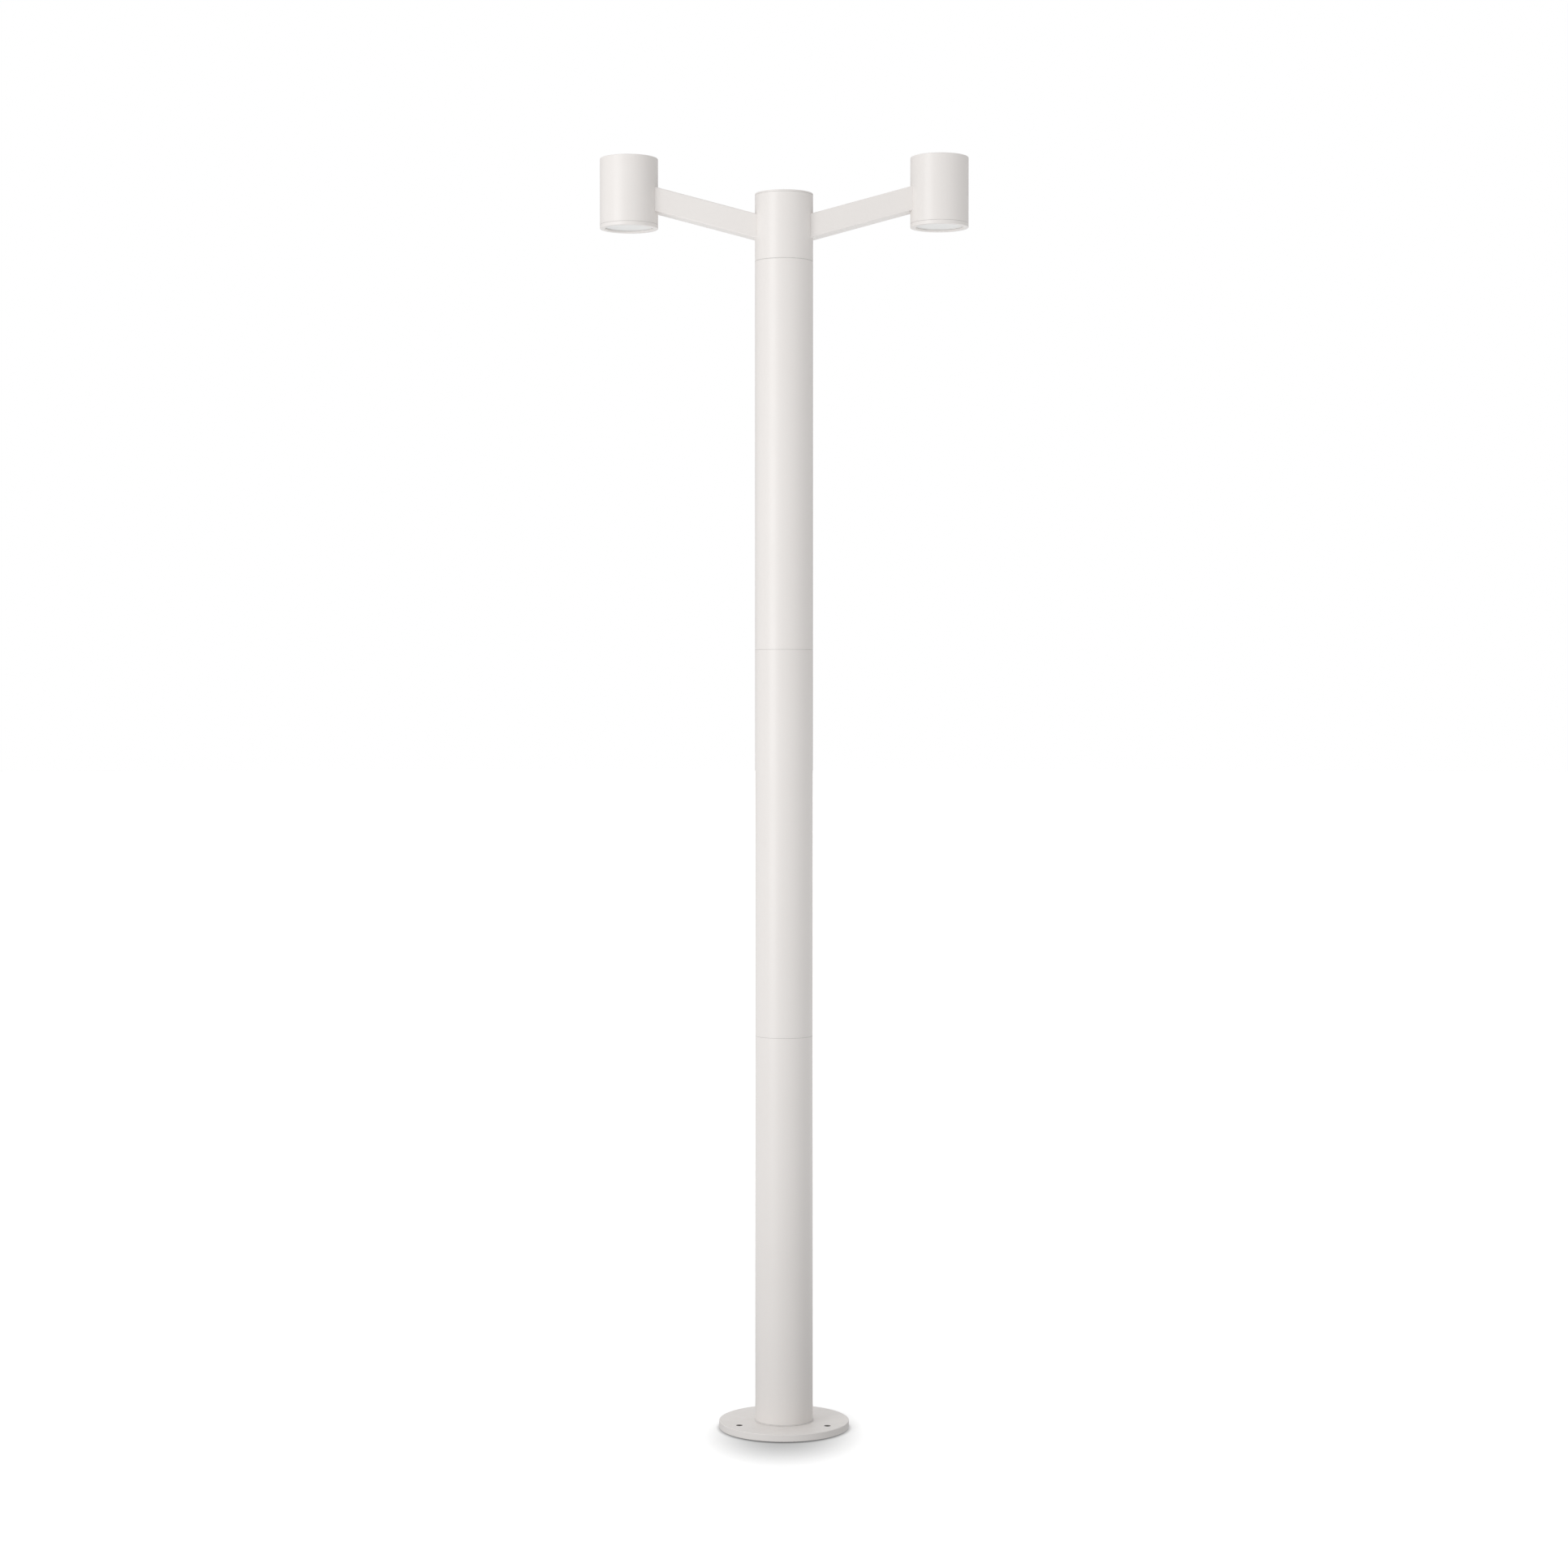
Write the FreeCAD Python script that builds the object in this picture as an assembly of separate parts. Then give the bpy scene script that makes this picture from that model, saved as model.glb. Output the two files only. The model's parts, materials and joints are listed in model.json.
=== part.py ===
import FreeCAD, Part
import math
import os

# Twin-head lamp post. A sectional tubular pole stands on a round foot plate and carries a crosshead:
# a hub with two rising square arms, each ending in a cylindrical downlight.
# Millimetres, +Z up. The origin is the centre of the foot plate's underside, the arms lie along X,
# and +Y is the service side, where the fixing screws are.

# Pole
pole_diameter = 100.0
pole_wall = 3.0
pole_length = 2000.0
section_count = 3
seam_chamfer = 0.2

# Foot plate and its seal
plate_diameter = 225.0
plate_thickness = 12.0
plate_edge_radius = 1.0
anchor_count = 3
anchor_hole_diameter = 10.5
anchor_edge_distance = 25.0
anchor_chamfer = 0.8
cable_hole_diameter = 40.0
foot_seal_thickness = 1.5
foot_seal_lip = 1.5

# Sleeves inside the pole
foot_spigot_height = 80.0
foot_spigot_wall = 9.0
coupler_length = 140.0
coupler_wall = 4.0
hub_spigot_depth = 60.0
hub_spigot_rise = 30.0
hub_spigot_wall = 5.0
hub_spigot_roof = 4.0
lead_hole_diameter = 22.0
lead_hole_offset = 20.0

# Hub
hub_height = 116.0
hub_washer_thickness = 0.5
hub_washer_setback = 0.3
hub_cap_thickness = 3.0
hub_cap_edge_radius = 0.6
cap_skirt_depth = 14.0
cap_skirt_wall = 4.0
cap_seal_section = 1.8
cap_seal_drop = 4.0
cap_screw_drop = 9.5
grub_height = 15.0
grub_length = 6.0

# Arms
arm_side = 40.0
arm_wall = 2.5
arm_corner_radius = 2.0
arm_slope = 15.0
arm_root_below_hub_top = 56.0
arm_end_thickness = 8.0
arm_screw_offset = 13.5
lead_gland_diameter = 14.0
lead_gland_bore = 9.0
lead_gland_flange = 16.0
lead_gland_flange_thickness = 1.5
lead_gland_proud = 1.0

# Heads
head_reach = 267.0
head_diameter = 100.0
head_height = 120.0
head_wall = 3.0
head_roof = 4.0
head_edge_radius = 1.2
arm_tip_above_ledge = 23.5
boss_height = 6.0
boss_diameter = 9.0
boss_spacing = 40.0

# Lens and its screwed ring
ring_height = 6.4
ring_neck_height = 6.0
ring_neck_wall = 2.3
ring_lip_thickness = 2.2
ring_lip_width = 2.9
lens_thickness = 4.0
lens_gasket_thickness = 1.2
lens_clip_thickness = 1.0
lens_clip_bite = 1.0
lens_clip_width = 2.4
ring_seal_thickness = 1.0
ring_seal_width = 1.7

# Lamp, lampholder and reflector
lamp_diameter = 50.0
lamp_length = 54.0
lamp_rim_height = 4.0
lamp_neck_diameter = 26.0
lamp_neck_length = 14.0
pin_spacing = 10.0
pin_diameter = 3.2
pin_foot_diameter = 5.0
pin_foot_length = 2.0
pin_length = 7.0
holder_diameter = 27.0
holder_height = 15.0
bracket_width = 16.0
bracket_thickness = 1.5
reflector_wall = 1.2
reflector_flange = 6.0
ledge_height = 4.0
ledge_width = 5.6
ledge_above_neck = 7.6

# Terminal block and earth stud on the hub spigot's roof
terminal_length = 44.0
terminal_width = 20.0
terminal_height = 18.0
terminal_offset = 12.0
terminal_ways = 3
terminal_way_pitch = 11.0
terminal_way_bore = 5.0
terminal_screw_spacing = 38.0
earth_stud_height = 14.0
earth_stud_x = 29.0
earth_stud_y = -14.0
earth_nut_across = 10.0
earth_nut_height = 4.0

# Clearances
sleeve_clearance = 0.1    # radial, fixed sleeve in a tube
turning_clearance = 0.3   # radial, parts that turn or screw past each other
screw_clearance = 0.05    # radial, screw in its hole; threads are left plain
seating_gap = 0.2         # a face that stops just short of its seat
lamp_clearance = 1.0      # radial, lamp in the reflector's neck

# Screws: shank and head diameters, and the hexagon socket's width across flats
screw_m6 = {"shank": 6.0, "head": 11.6, "head_height": 3.6, "socket": 4.0, "socket_depth": 2.4}
screw_m5 = {"shank": 5.0, "head": 9.0, "head_height": 3.0, "socket": 3.0, "socket_depth": 1.8}
screw_m4 = {"shank": 4.0, "head": 7.0, "head_height": 2.4, "socket": 2.5, "socket_depth": 1.5}
screw_m3 = {"shank": 3.0, "head": 5.5, "head_height": 2.0, "socket": 2.0, "socket_depth": 1.2}
foot_screw_length = 26.0
pole_screw_length = 8.0
arm_screw_reach = 7.0
bracket_screw_grip = 5.0
holder_screw_grip = 5.0
reflector_screw_grip = 3.5
terminal_screw_grip = 4.0
flush_gap = 0.05

# Places of the fixing screws
service_angles = (60.0, 120.0)
cap_screw_angle = 90.0
foot_screw_height = 40.0
coupler_screw_offset = 35.0
hub_spigot_screw_drop = 30.0

# Radii and levels that follow from the sizes above
pole_r = pole_diameter / 2
pole_inner_r = pole_r - pole_wall
plate_r = plate_diameter / 2
anchor_circle_r = plate_r - anchor_edge_distance
head_r = head_diameter / 2
head_inner_r = head_r - head_wall

pole_bottom = plate_thickness + foot_seal_thickness
pole_top = pole_bottom + pole_length
section_length = pole_length / section_count
hub_bottom = pole_top + hub_washer_thickness
hub_top = hub_bottom + hub_height
cap_bottom = hub_top - hub_cap_thickness
spigot_roof_top = hub_bottom + hub_spigot_rise

arm_root_z = hub_top - arm_root_below_hub_top
arm_rise = math.tan(math.radians(arm_slope))
arm_tip_x = head_reach - head_r
arm_tip_z = arm_root_z + (arm_tip_x - pole_r) * arm_rise

ledge_top = arm_tip_z - arm_tip_above_ledge
ledge_bottom = ledge_top - ledge_height
neck_top = ledge_bottom - ledge_above_neck
shell_bottom = neck_top - ring_neck_height
head_bottom = shell_bottom - ring_height
head_top = head_bottom + head_height
roof_underside = head_top - head_roof
neck_r = head_inner_r - turning_clearance
neck_inner_r = neck_r - ring_neck_wall
lens_r = neck_inner_r - turning_clearance
lip_r = neck_inner_r - ring_lip_width
gasket_top = head_bottom + ring_lip_thickness + lens_gasket_thickness
lens_top = gasket_top + lens_thickness

bracket_top = roof_underside - boss_height
holder_top = bracket_top - bracket_thickness
holder_bottom = holder_top - holder_height
lamp_top = holder_bottom - seating_gap
lamp_face = lamp_top - lamp_length
reflector_neck_r = lamp_diameter / 2 + lamp_clearance

up = FreeCAD.Vector(0, 0, 1)
down = FreeCAD.Vector(0, 0, -1)
inward_x = FreeCAD.Vector(-1, 0, 0)
outward_x = FreeCAD.Vector(1, 0, 0)


def point(x, y, z):
    return FreeCAD.Vector(x, y, z)


def polar(radius, angle, z):
    turn = math.radians(angle)
    return point(radius * math.cos(turn), radius * math.sin(turn), z)


def turned(outline, axis_x=0.0):
    # outline: corners as (radius, height), turned about the vertical line at axis_x
    corners = [point(axis_x + radius, 0, z) for radius, z in outline]
    face = Part.Face(Part.makePolygon(corners + corners[:1]))
    return face.revolve(point(axis_x, 0, 0), up, 360)


def tube(outer_r, inner_r, low, high, axis_x=0.0, chamfer=0.0):
    outline = [(inner_r, low), (outer_r - chamfer, low)]
    if chamfer:
        outline += [(outer_r, low + chamfer), (outer_r, high - chamfer)]
    outline += [(outer_r - chamfer, high), (inner_r, high)]
    return turned(outline, axis_x)


def rod(radius, start, direction, length):
    return Part.makeCylinder(radius, length, start, direction)


def block(size, centre):
    corner = centre - size * 0.5
    return Part.makeBox(size.x, size.y, size.z, corner)


def rim_edges(shape, radius, z):
    found = []
    for edge in shape.Edges:
        if not isinstance(edge.Curve, Part.Circle):
            continue
        same_radius = abs(edge.Curve.Radius - radius) < 1e-6
        if same_radius and abs(edge.Curve.Center.z - z) < 1e-6:
            found.append(edge)
    return found


def joined(shapes):
    return shapes[0].multiFuse(shapes[1:]).removeSplitter()


def drilled(shape, cutters):
    for cutter in cutters:
        if shape.BoundBox.intersect(cutter.BoundBox):
            shape = shape.cut(cutter)
    return shape


def mirrored(shape):
    return shape.mirror(point(0, 0, 0), outward_x)


def hexagon(across, height, z):
    corner_r = across / math.sqrt(3)
    corners = [polar(corner_r, 60 * i, z) for i in range(7)]
    return Part.Face(Part.makePolygon(corners)).extrude(point(0, 0, height))


def aimed(shape, seat, direction):
    # shape is drawn with its seat at the origin and its shank pointing down
    placed = shape.copy()
    placed.Placement = FreeCAD.Placement(seat, FreeCAD.Rotation(down, direction))
    return placed


def countersunk_screw(size, length):
    shank_r = size["shank"] / 2
    screw_head_r = size["head"] / 2
    cone_depth = screw_head_r - shank_r
    outline = [(0, 0), (screw_head_r, 0), (shank_r, -cone_depth), (shank_r, -length), (0, -length)]
    depth = min(size["socket_depth"], cone_depth)
    return turned(outline).cut(hexagon(size["socket"], depth, -depth))


def countersunk_hole(size, depth, well):
    # the screw's own shape with clearance, and a straight well above its head
    shank_r = size["shank"] / 2 + screw_clearance
    screw_head_r = size["head"] / 2 + screw_clearance
    cone_depth = screw_head_r - shank_r
    outline = [(0, well), (screw_head_r, well), (screw_head_r, 0), (shank_r, -cone_depth)]
    outline += [(shank_r, -depth), (0, -depth)]
    return turned(outline)


def pan_screw(size, length):
    # the underside of the head is at the origin
    shank_r = size["shank"] / 2
    screw_head_r = size["head"] / 2
    height = size["head_height"]
    bevel = height / 4
    outline = [(0, height), (screw_head_r - bevel, height), (screw_head_r, height - bevel)]
    outline += [(screw_head_r, 0), (shank_r, 0), (shank_r, -length), (0, -length)]
    depth = size["socket_depth"]
    return turned(outline).cut(hexagon(size["socket"], depth, height - depth))


def screw_hole(size, seat, direction, depth):
    return rod(size["shank"] / 2 + screw_clearance, seat, direction, depth)


# Foot

def foot_screw_seats():
    step = 360 / anchor_count
    first = 90 + step / 2
    radius = pole_inner_r - sleeve_clearance - foot_spigot_wall / 2
    return [polar(radius, first + step * i, flush_gap) for i in range(anchor_count)]


def anchor_hole(angle):
    radius = anchor_hole_diameter / 2
    hole = rod(radius, polar(anchor_circle_r, angle, 0), up, plate_thickness)
    sink_start = polar(anchor_circle_r, angle, plate_thickness - anchor_chamfer)
    sink = Part.makeCone(radius, radius + anchor_chamfer, anchor_chamfer, sink_start, up)
    return hole.fuse(sink)


def foot_plate():
    plate = rod(plate_r, point(0, 0, 0), up, plate_thickness)
    rims = rim_edges(plate, plate_r, plate_thickness) + rim_edges(plate, plate_r, 0)
    plate = plate.makeFillet(plate_edge_radius, rims)
    cutters = [rod(cable_hole_diameter / 2, point(0, 0, 0), up, plate_thickness)]
    cutters += [anchor_hole(90 + 360 / anchor_count * i) for i in range(anchor_count)]
    sink = countersunk_hole(screw_m6, foot_screw_length, 1.0)
    cutters += [aimed(sink, seat, up) for seat in foot_screw_seats()]
    return drilled(plate, cutters)


def foot_seal():
    inner_r = pole_inner_r
    return tube(pole_r + foot_seal_lip, inner_r, plate_thickness, pole_bottom, 0.0, foot_seal_thickness / 3)


def foot_spigot():
    outer_r = pole_inner_r - sleeve_clearance
    top = plate_thickness + foot_spigot_height
    body = tube(outer_r, outer_r - foot_spigot_wall, plate_thickness, top)
    holes = [screw_hole(screw_m6, seat, up, foot_screw_length) for seat in foot_screw_seats()]
    return drilled(body, holes + pole_screw_holes())


def foot_screws():
    screw = countersunk_screw(screw_m6, foot_screw_length - 1.0)
    return Part.makeCompound([aimed(screw, seat, up) for seat in foot_screw_seats()])


# Pole

def seam_heights():
    return [pole_bottom + section_length * i for i in range(1, section_count)]


def pole_screw_seats():
    heights = [pole_bottom + foot_screw_height, pole_top - hub_spigot_screw_drop]
    for seam in seam_heights():
        heights += [seam - coupler_screw_offset, seam + coupler_screw_offset]
    flush_r = math.sqrt(pole_r ** 2 - (screw_m5["head"] / 2) ** 2) - flush_gap
    return [(polar(flush_r, angle, z), angle) for z in heights for angle in service_angles]


def towards_axis(angle):
    return polar(-1, angle, 0)


def pole_screw_holes():
    hole = countersunk_hole(screw_m5, pole_screw_length + foot_spigot_wall, pole_wall)
    return [aimed(hole, seat, towards_axis(angle)) for seat, angle in pole_screw_seats()]


def pole_screws():
    screw = countersunk_screw(screw_m5, pole_screw_length)
    return Part.makeCompound([aimed(screw, seat, towards_axis(angle)) for seat, angle in pole_screw_seats()])


def pole_section(index):
    low = pole_bottom + section_length * index
    body = tube(pole_r, pole_inner_r, low, low + section_length, 0.0, seam_chamfer)
    return drilled(body, pole_screw_holes())


def coupler(seam):
    outer_r = pole_inner_r - sleeve_clearance
    body = tube(outer_r, outer_r - coupler_wall, seam - coupler_length / 2, seam + coupler_length / 2)
    return drilled(body, pole_screw_holes())


# Hub spigot, which the crosshead turns on, and what is mounted on its roof

def terminal_screw_seats():
    half = terminal_screw_spacing / 2
    z = spigot_roof_top + terminal_height / 2
    return [point(x, terminal_offset, z) for x in (-half, half)]


def hub_spigot():
    fixed_r = pole_inner_r - sleeve_clearance
    turning_r = pole_inner_r - turning_clearance
    inner_r = fixed_r - hub_spigot_wall
    groove_half = screw_m6["shank"] / 2 + turning_clearance
    groove_low = hub_bottom + grub_height - groove_half
    groove_high = hub_bottom + grub_height + groove_half
    groove_r = clamp_groove_r()
    roof_bottom = spigot_roof_top - hub_spigot_roof
    outline = [(inner_r, pole_top - hub_spigot_depth), (fixed_r, pole_top - hub_spigot_depth)]
    outline += [(fixed_r, pole_top), (turning_r, pole_top), (turning_r, groove_low)]
    outline += [(groove_r, groove_low), (groove_r, groove_high), (turning_r, groove_high)]
    outline += [(turning_r, spigot_roof_top), (0, spigot_roof_top), (0, roof_bottom)]
    outline += [(inner_r, roof_bottom)]
    holes = [rod(lead_hole_diameter / 2, point(0, -lead_hole_offset, roof_bottom), up, hub_spigot_roof)]
    for seat in terminal_screw_seats():
        foot = point(seat.x, seat.y, roof_bottom)
        holes.append(screw_hole(screw_m3, foot, up, hub_spigot_roof))
    holes.append(screw_hole(screw_m5, point(earth_stud_x, earth_stud_y, roof_bottom), up, hub_spigot_roof))
    return drilled(turned(outline), holes + pole_screw_holes())


def clamp_groove_r():
    grub_tip_r = pole_r - flush_gap - grub_length
    return grub_tip_r - turning_clearance


def terminal_block():
    middle = point(0, terminal_offset, spigot_roof_top + terminal_height / 2)
    body = block(point(terminal_length, terminal_width, terminal_height), middle)
    ears = []
    for seat in terminal_screw_seats():
        ear_top = point(screw_m3["head"] + 1, terminal_width, terminal_height / 2)
        ears.append(block(ear_top, point(seat.x, seat.y, middle.z + terminal_height / 4)))
        foot = point(seat.x, seat.y, spigot_roof_top)
        ears.append(screw_hole(screw_m3, foot, up, terminal_height / 2))
    wells = []
    for i in range(terminal_ways):
        x = (i - (terminal_ways - 1) / 2) * terminal_way_pitch
        entry = point(x, terminal_offset - terminal_width / 2, spigot_roof_top + terminal_height / 3)
        wells.append(rod(terminal_way_bore / 2, entry, point(0, 1, 0), terminal_width))
        top = point(x, terminal_offset, spigot_roof_top + terminal_height)
        wells.append(rod(terminal_way_bore / 2, top, down, terminal_height / 2))
    return drilled(body, ears + wells)


def terminal_screws():
    screw = pan_screw(screw_m3, terminal_height / 2 + terminal_screw_grip - seating_gap)
    return Part.makeCompound([aimed(screw, seat, down) for seat in terminal_screw_seats()])


def earth_stud():
    low = spigot_roof_top - hub_spigot_roof
    stud = rod(screw_m5["shank"] / 2, point(0, 0, low), up, hub_spigot_roof + earth_stud_height)
    nut = hexagon(earth_nut_across, earth_nut_height, spigot_roof_top)
    body = joined([stud, nut])
    body.translate(point(earth_stud_x, earth_stud_y, 0))
    return body


# Hub

def hub_washer():
    return tube(pole_r - hub_washer_setback, pole_inner_r, pole_top, hub_bottom)


def wall_seat(inner_r, reach):
    # distance from the axis at which a flat seat of this half-width meets the inside of a tube
    return math.sqrt(inner_r ** 2 - reach ** 2)


def hub_side_holes():
    start = point(0, 0, arm_root_z)
    holes = [rod(lead_gland_diameter / 2 + screw_clearance, start, outward_x, pole_r)]
    for offset in (-arm_screw_offset, arm_screw_offset):
        start = point(0, 0, arm_root_z + offset)
        holes.append(screw_hole(screw_m5, start, outward_x, pole_r))
    return holes


def grub_seats():
    return [(polar(pole_r - flush_gap, angle, hub_bottom + grub_height), angle) for angle in service_angles]


def cap_screw_seat():
    flush_r = math.sqrt(pole_r ** 2 - (screw_m5["head"] / 2) ** 2) - flush_gap
    return polar(flush_r, cap_screw_angle, cap_bottom - cap_screw_drop)


def hub_tube():
    body = tube(pole_r, pole_inner_r, hub_bottom, cap_bottom, 0.0, seam_chamfer)
    holes = hub_side_holes()
    holes += [mirrored(hole) for hole in hub_side_holes()]
    for seat, angle in grub_seats():
        mouth = seat - towards_axis(angle)
        holes.append(screw_hole(screw_m6, mouth, towards_axis(angle), pole_wall + 2))
    sink = countersunk_hole(screw_m5, pole_screw_length, pole_wall)
    holes.append(aimed(sink, cap_screw_seat(), towards_axis(cap_screw_angle)))
    return drilled(body, holes)


def hub_grub_screws():
    outline = [(0, 0), (screw_m6["shank"] / 2, 0), (screw_m6["shank"] / 2, -grub_length), (0, -grub_length)]
    depth = screw_m6["socket_depth"]
    screw = turned(outline).cut(hexagon(screw_m5["socket"], depth, -depth))
    return Part.makeCompound([aimed(screw, seat, towards_axis(angle)) for seat, angle in grub_seats()])


def cap_seal_ring_r():
    return pole_inner_r - flush_gap - cap_seal_section / 2


def hub_cap():
    skirt_r = pole_inner_r - sleeve_clearance
    groove_half = cap_seal_section / 2 + flush_gap
    groove_z = cap_bottom - cap_seal_drop
    groove_r = cap_seal_ring_r() - cap_seal_section / 2 - flush_gap
    inner_r = skirt_r - cap_skirt_wall
    skirt_low = cap_bottom - cap_skirt_depth
    outline = [(0, hub_top), (pole_r, hub_top), (pole_r, cap_bottom + seam_chamfer)]
    outline += [(pole_r - seam_chamfer, cap_bottom), (skirt_r, cap_bottom)]
    outline += [(skirt_r, groove_z + groove_half), (groove_r, groove_z + groove_half)]
    outline += [(groove_r, groove_z - groove_half), (skirt_r, groove_z - groove_half)]
    outline += [(skirt_r, skirt_low), (inner_r, skirt_low), (inner_r, cap_bottom), (0, cap_bottom)]
    cap = turned(outline)
    cap = cap.makeFillet(hub_cap_edge_radius, rim_edges(cap, pole_r, hub_top))
    hole = countersunk_hole(screw_m5, pole_screw_length, pole_wall)
    return drilled(cap, [aimed(hole, cap_screw_seat(), towards_axis(cap_screw_angle))])


def hub_cap_seal():
    centre = point(0, 0, cap_bottom - cap_seal_drop)
    return Part.makeTorus(cap_seal_ring_r(), cap_seal_section / 2, centre, up)


def hub_cap_screw():
    screw = countersunk_screw(screw_m5, pole_screw_length - 1.0)
    return aimed(screw, cap_screw_seat(), towards_axis(cap_screw_angle))


# Arms, drawn on the right-hand side

def sloped_bar(side, corner_radius):
    # a square bar along the arm's line, running from inside the hub to inside the head
    overlap = pole_r / 3
    length = (arm_tip_x - pole_r + 2 * overlap) / math.cos(math.radians(arm_slope))
    bar = Part.makeBox(length, side, side, point(0, -side / 2, -side / 2))
    if corner_radius:
        long_edges = [edge for edge in bar.Edges if abs(edge.Length - length) < 1e-6]
        bar = bar.makeFillet(corner_radius, long_edges)
    turn = FreeCAD.Rotation(point(0, 1, 0), -arm_slope)
    start = point(pole_r - overlap, 0, arm_root_z - overlap * arm_rise)
    bar.Placement = FreeCAD.Placement(start, turn)
    return bar


def arm_end_holes(x, z, direction, depth):
    holes = [rod(lead_gland_diameter / 2 + screw_clearance, point(x, 0, z), direction, depth)]
    for offset in (-arm_screw_offset, arm_screw_offset):
        start = point(x, 0, z + offset)
        holes.append(screw_hole(screw_m5, start, direction, depth))
    return holes


def arm():
    bar = sloped_bar(arm_side, arm_corner_radius)
    low = arm_root_z - arm_side * 2
    tall = arm_tip_z - arm_root_z + arm_side * 4
    bar = bar.cut(rod(pole_r, point(0, 0, low), up, tall))
    bar = bar.cut(rod(head_r, point(head_reach, 0, low), up, tall))
    hollow_start = pole_r + arm_end_thickness
    hollow_length = arm_tip_x - arm_end_thickness - hollow_start
    window = Part.makeBox(hollow_length, arm_side, tall, point(hollow_start, -arm_side / 2, low))
    hollow = sloped_bar(arm_side - 2 * arm_wall, 0.0).common(window)
    holes = arm_end_holes(pole_inner_r, arm_root_z, outward_x, arm_end_thickness + pole_wall + 1)
    holes += arm_end_holes(head_reach - head_inner_r, arm_tip_z, inward_x, arm_end_thickness + head_wall + 1)
    return drilled(bar.cut(hollow), holes)


def arm_screw_pair(seat_x, z, direction, wall):
    screw = pan_screw(screw_m5, wall + arm_screw_reach)
    offsets = (-arm_screw_offset, arm_screw_offset)
    return [aimed(screw, point(seat_x, 0, z + offset), direction) for offset in offsets]


def arm_screws():
    reach = screw_m5["head"] / 2
    hub_seat = wall_seat(pole_inner_r, reach) - flush_gap
    head_seat = head_reach - wall_seat(head_inner_r, reach) + flush_gap
    screws = arm_screw_pair(hub_seat, arm_root_z, outward_x, pole_wall)
    screws += arm_screw_pair(head_seat, arm_tip_z, inward_x, head_wall)
    return Part.makeCompound(screws + [mirrored(screw) for screw in screws])


def lead_gland(seat_x, z, direction, wall):
    barrel_r = lead_gland_diameter / 2
    flange_r = lead_gland_flange / 2
    bore_r = lead_gland_bore / 2
    length = wall + arm_end_thickness + lead_gland_proud
    outline = [(bore_r, lead_gland_flange_thickness), (flange_r, lead_gland_flange_thickness)]
    outline += [(flange_r, 0), (barrel_r, 0), (barrel_r, -length), (bore_r, -length)]
    return aimed(turned(outline), point(seat_x, 0, z), direction)


def lead_glands():
    reach = lead_gland_flange / 2
    hub_seat = wall_seat(pole_inner_r, reach) - flush_gap
    head_seat = head_reach - wall_seat(head_inner_r, reach) + flush_gap
    glands = [lead_gland(hub_seat, arm_root_z, outward_x, pole_wall)]
    glands.append(lead_gland(head_seat, arm_tip_z, inward_x, head_wall))
    return Part.makeCompound(glands + [mirrored(gland) for gland in glands])


# Heads, drawn on the right-hand side

def boss_points(z):
    return [point(head_reach + side * boss_spacing / 2, 0, z) for side in (-1, 1)]


def reflector_screw_seats(z):
    radius = head_inner_r - ledge_width / 2 - turning_clearance
    seats = []
    for angle in (30, 150, 270):
        seats.append(polar(radius, angle, z) + point(head_reach, 0, 0))
    return seats


def head_shell():
    rebate_r = head_inner_r + ring_seal_width + seating_gap
    rebate_top = shell_bottom + ring_seal_thickness + seating_gap
    outline = [(rebate_r, shell_bottom), (head_r - seam_chamfer, shell_bottom)]
    outline += [(head_r, shell_bottom + seam_chamfer), (head_r, head_top), (0, head_top)]
    outline += [(0, roof_underside), (head_inner_r, roof_underside)]
    outline += [(head_inner_r, ledge_top), (head_inner_r - ledge_width, ledge_top)]
    outline += [(head_inner_r - ledge_width, ledge_bottom), (head_inner_r, ledge_bottom)]
    outline += [(head_inner_r, rebate_top), (rebate_r, rebate_top)]
    shell = turned(outline, head_reach)
    shell = shell.makeFillet(head_edge_radius, rim_edges(shell, head_r, head_top))
    bosses = [rod(boss_diameter / 2, start, up, boss_height) for start in boss_points(bracket_top)]
    shell = joined([shell] + bosses)
    holes = [screw_hole(screw_m4, start, up, bracket_screw_grip) for start in boss_points(bracket_top)]
    holes += [screw_hole(screw_m3, seat, up, ledge_height) for seat in reflector_screw_seats(ledge_bottom)]
    side = arm_end_holes(arm_tip_x - 1, arm_tip_z, outward_x, head_wall + 2)
    return drilled(shell, holes + side)


def holder_screw_points(z):
    return [point(head_reach, side * pin_spacing, z) for side in (-1, 1)]


def lampholder_bracket():
    length = boss_spacing + boss_diameter + 2
    middle = point(head_reach, 0, bracket_top - bracket_thickness / 2)
    plate = block(point(length, bracket_width + pin_spacing, bracket_thickness), middle)
    holes = [screw_hole(screw_m4, start, up, bracket_thickness) for start in boss_points(holder_top)]
    holes += [screw_hole(screw_m3, start, up, bracket_thickness) for start in holder_screw_points(holder_top)]
    return drilled(plate, holes)


def bracket_screws():
    screw = pan_screw(screw_m4, bracket_thickness + bracket_screw_grip - seating_gap)
    screws = [aimed(screw, start, up) for start in boss_points(holder_top)]
    return Part.makeCompound(screws + [mirrored(one) for one in screws])


def lampholder():
    body = rod(holder_diameter / 2, point(head_reach, 0, holder_bottom), up, holder_height)
    holes = []
    for side in (-1, 1):
        x = head_reach + side * pin_spacing / 2
        socket_r = pin_foot_diameter / 2 + 2 * turning_clearance
        holes.append(rod(socket_r, point(x, 0, holder_bottom), up, pin_length + 1))
    for start in holder_screw_points(holder_top):
        holes.append(screw_hole(screw_m3, start, down, holder_screw_grip))
    return drilled(body, holes)


def holder_screws():
    screw = pan_screw(screw_m3, bracket_thickness + holder_screw_grip - seating_gap)
    screws = [aimed(screw, start, down) for start in holder_screw_points(bracket_top)]
    return Part.makeCompound(screws + [mirrored(one) for one in screws])


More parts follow.
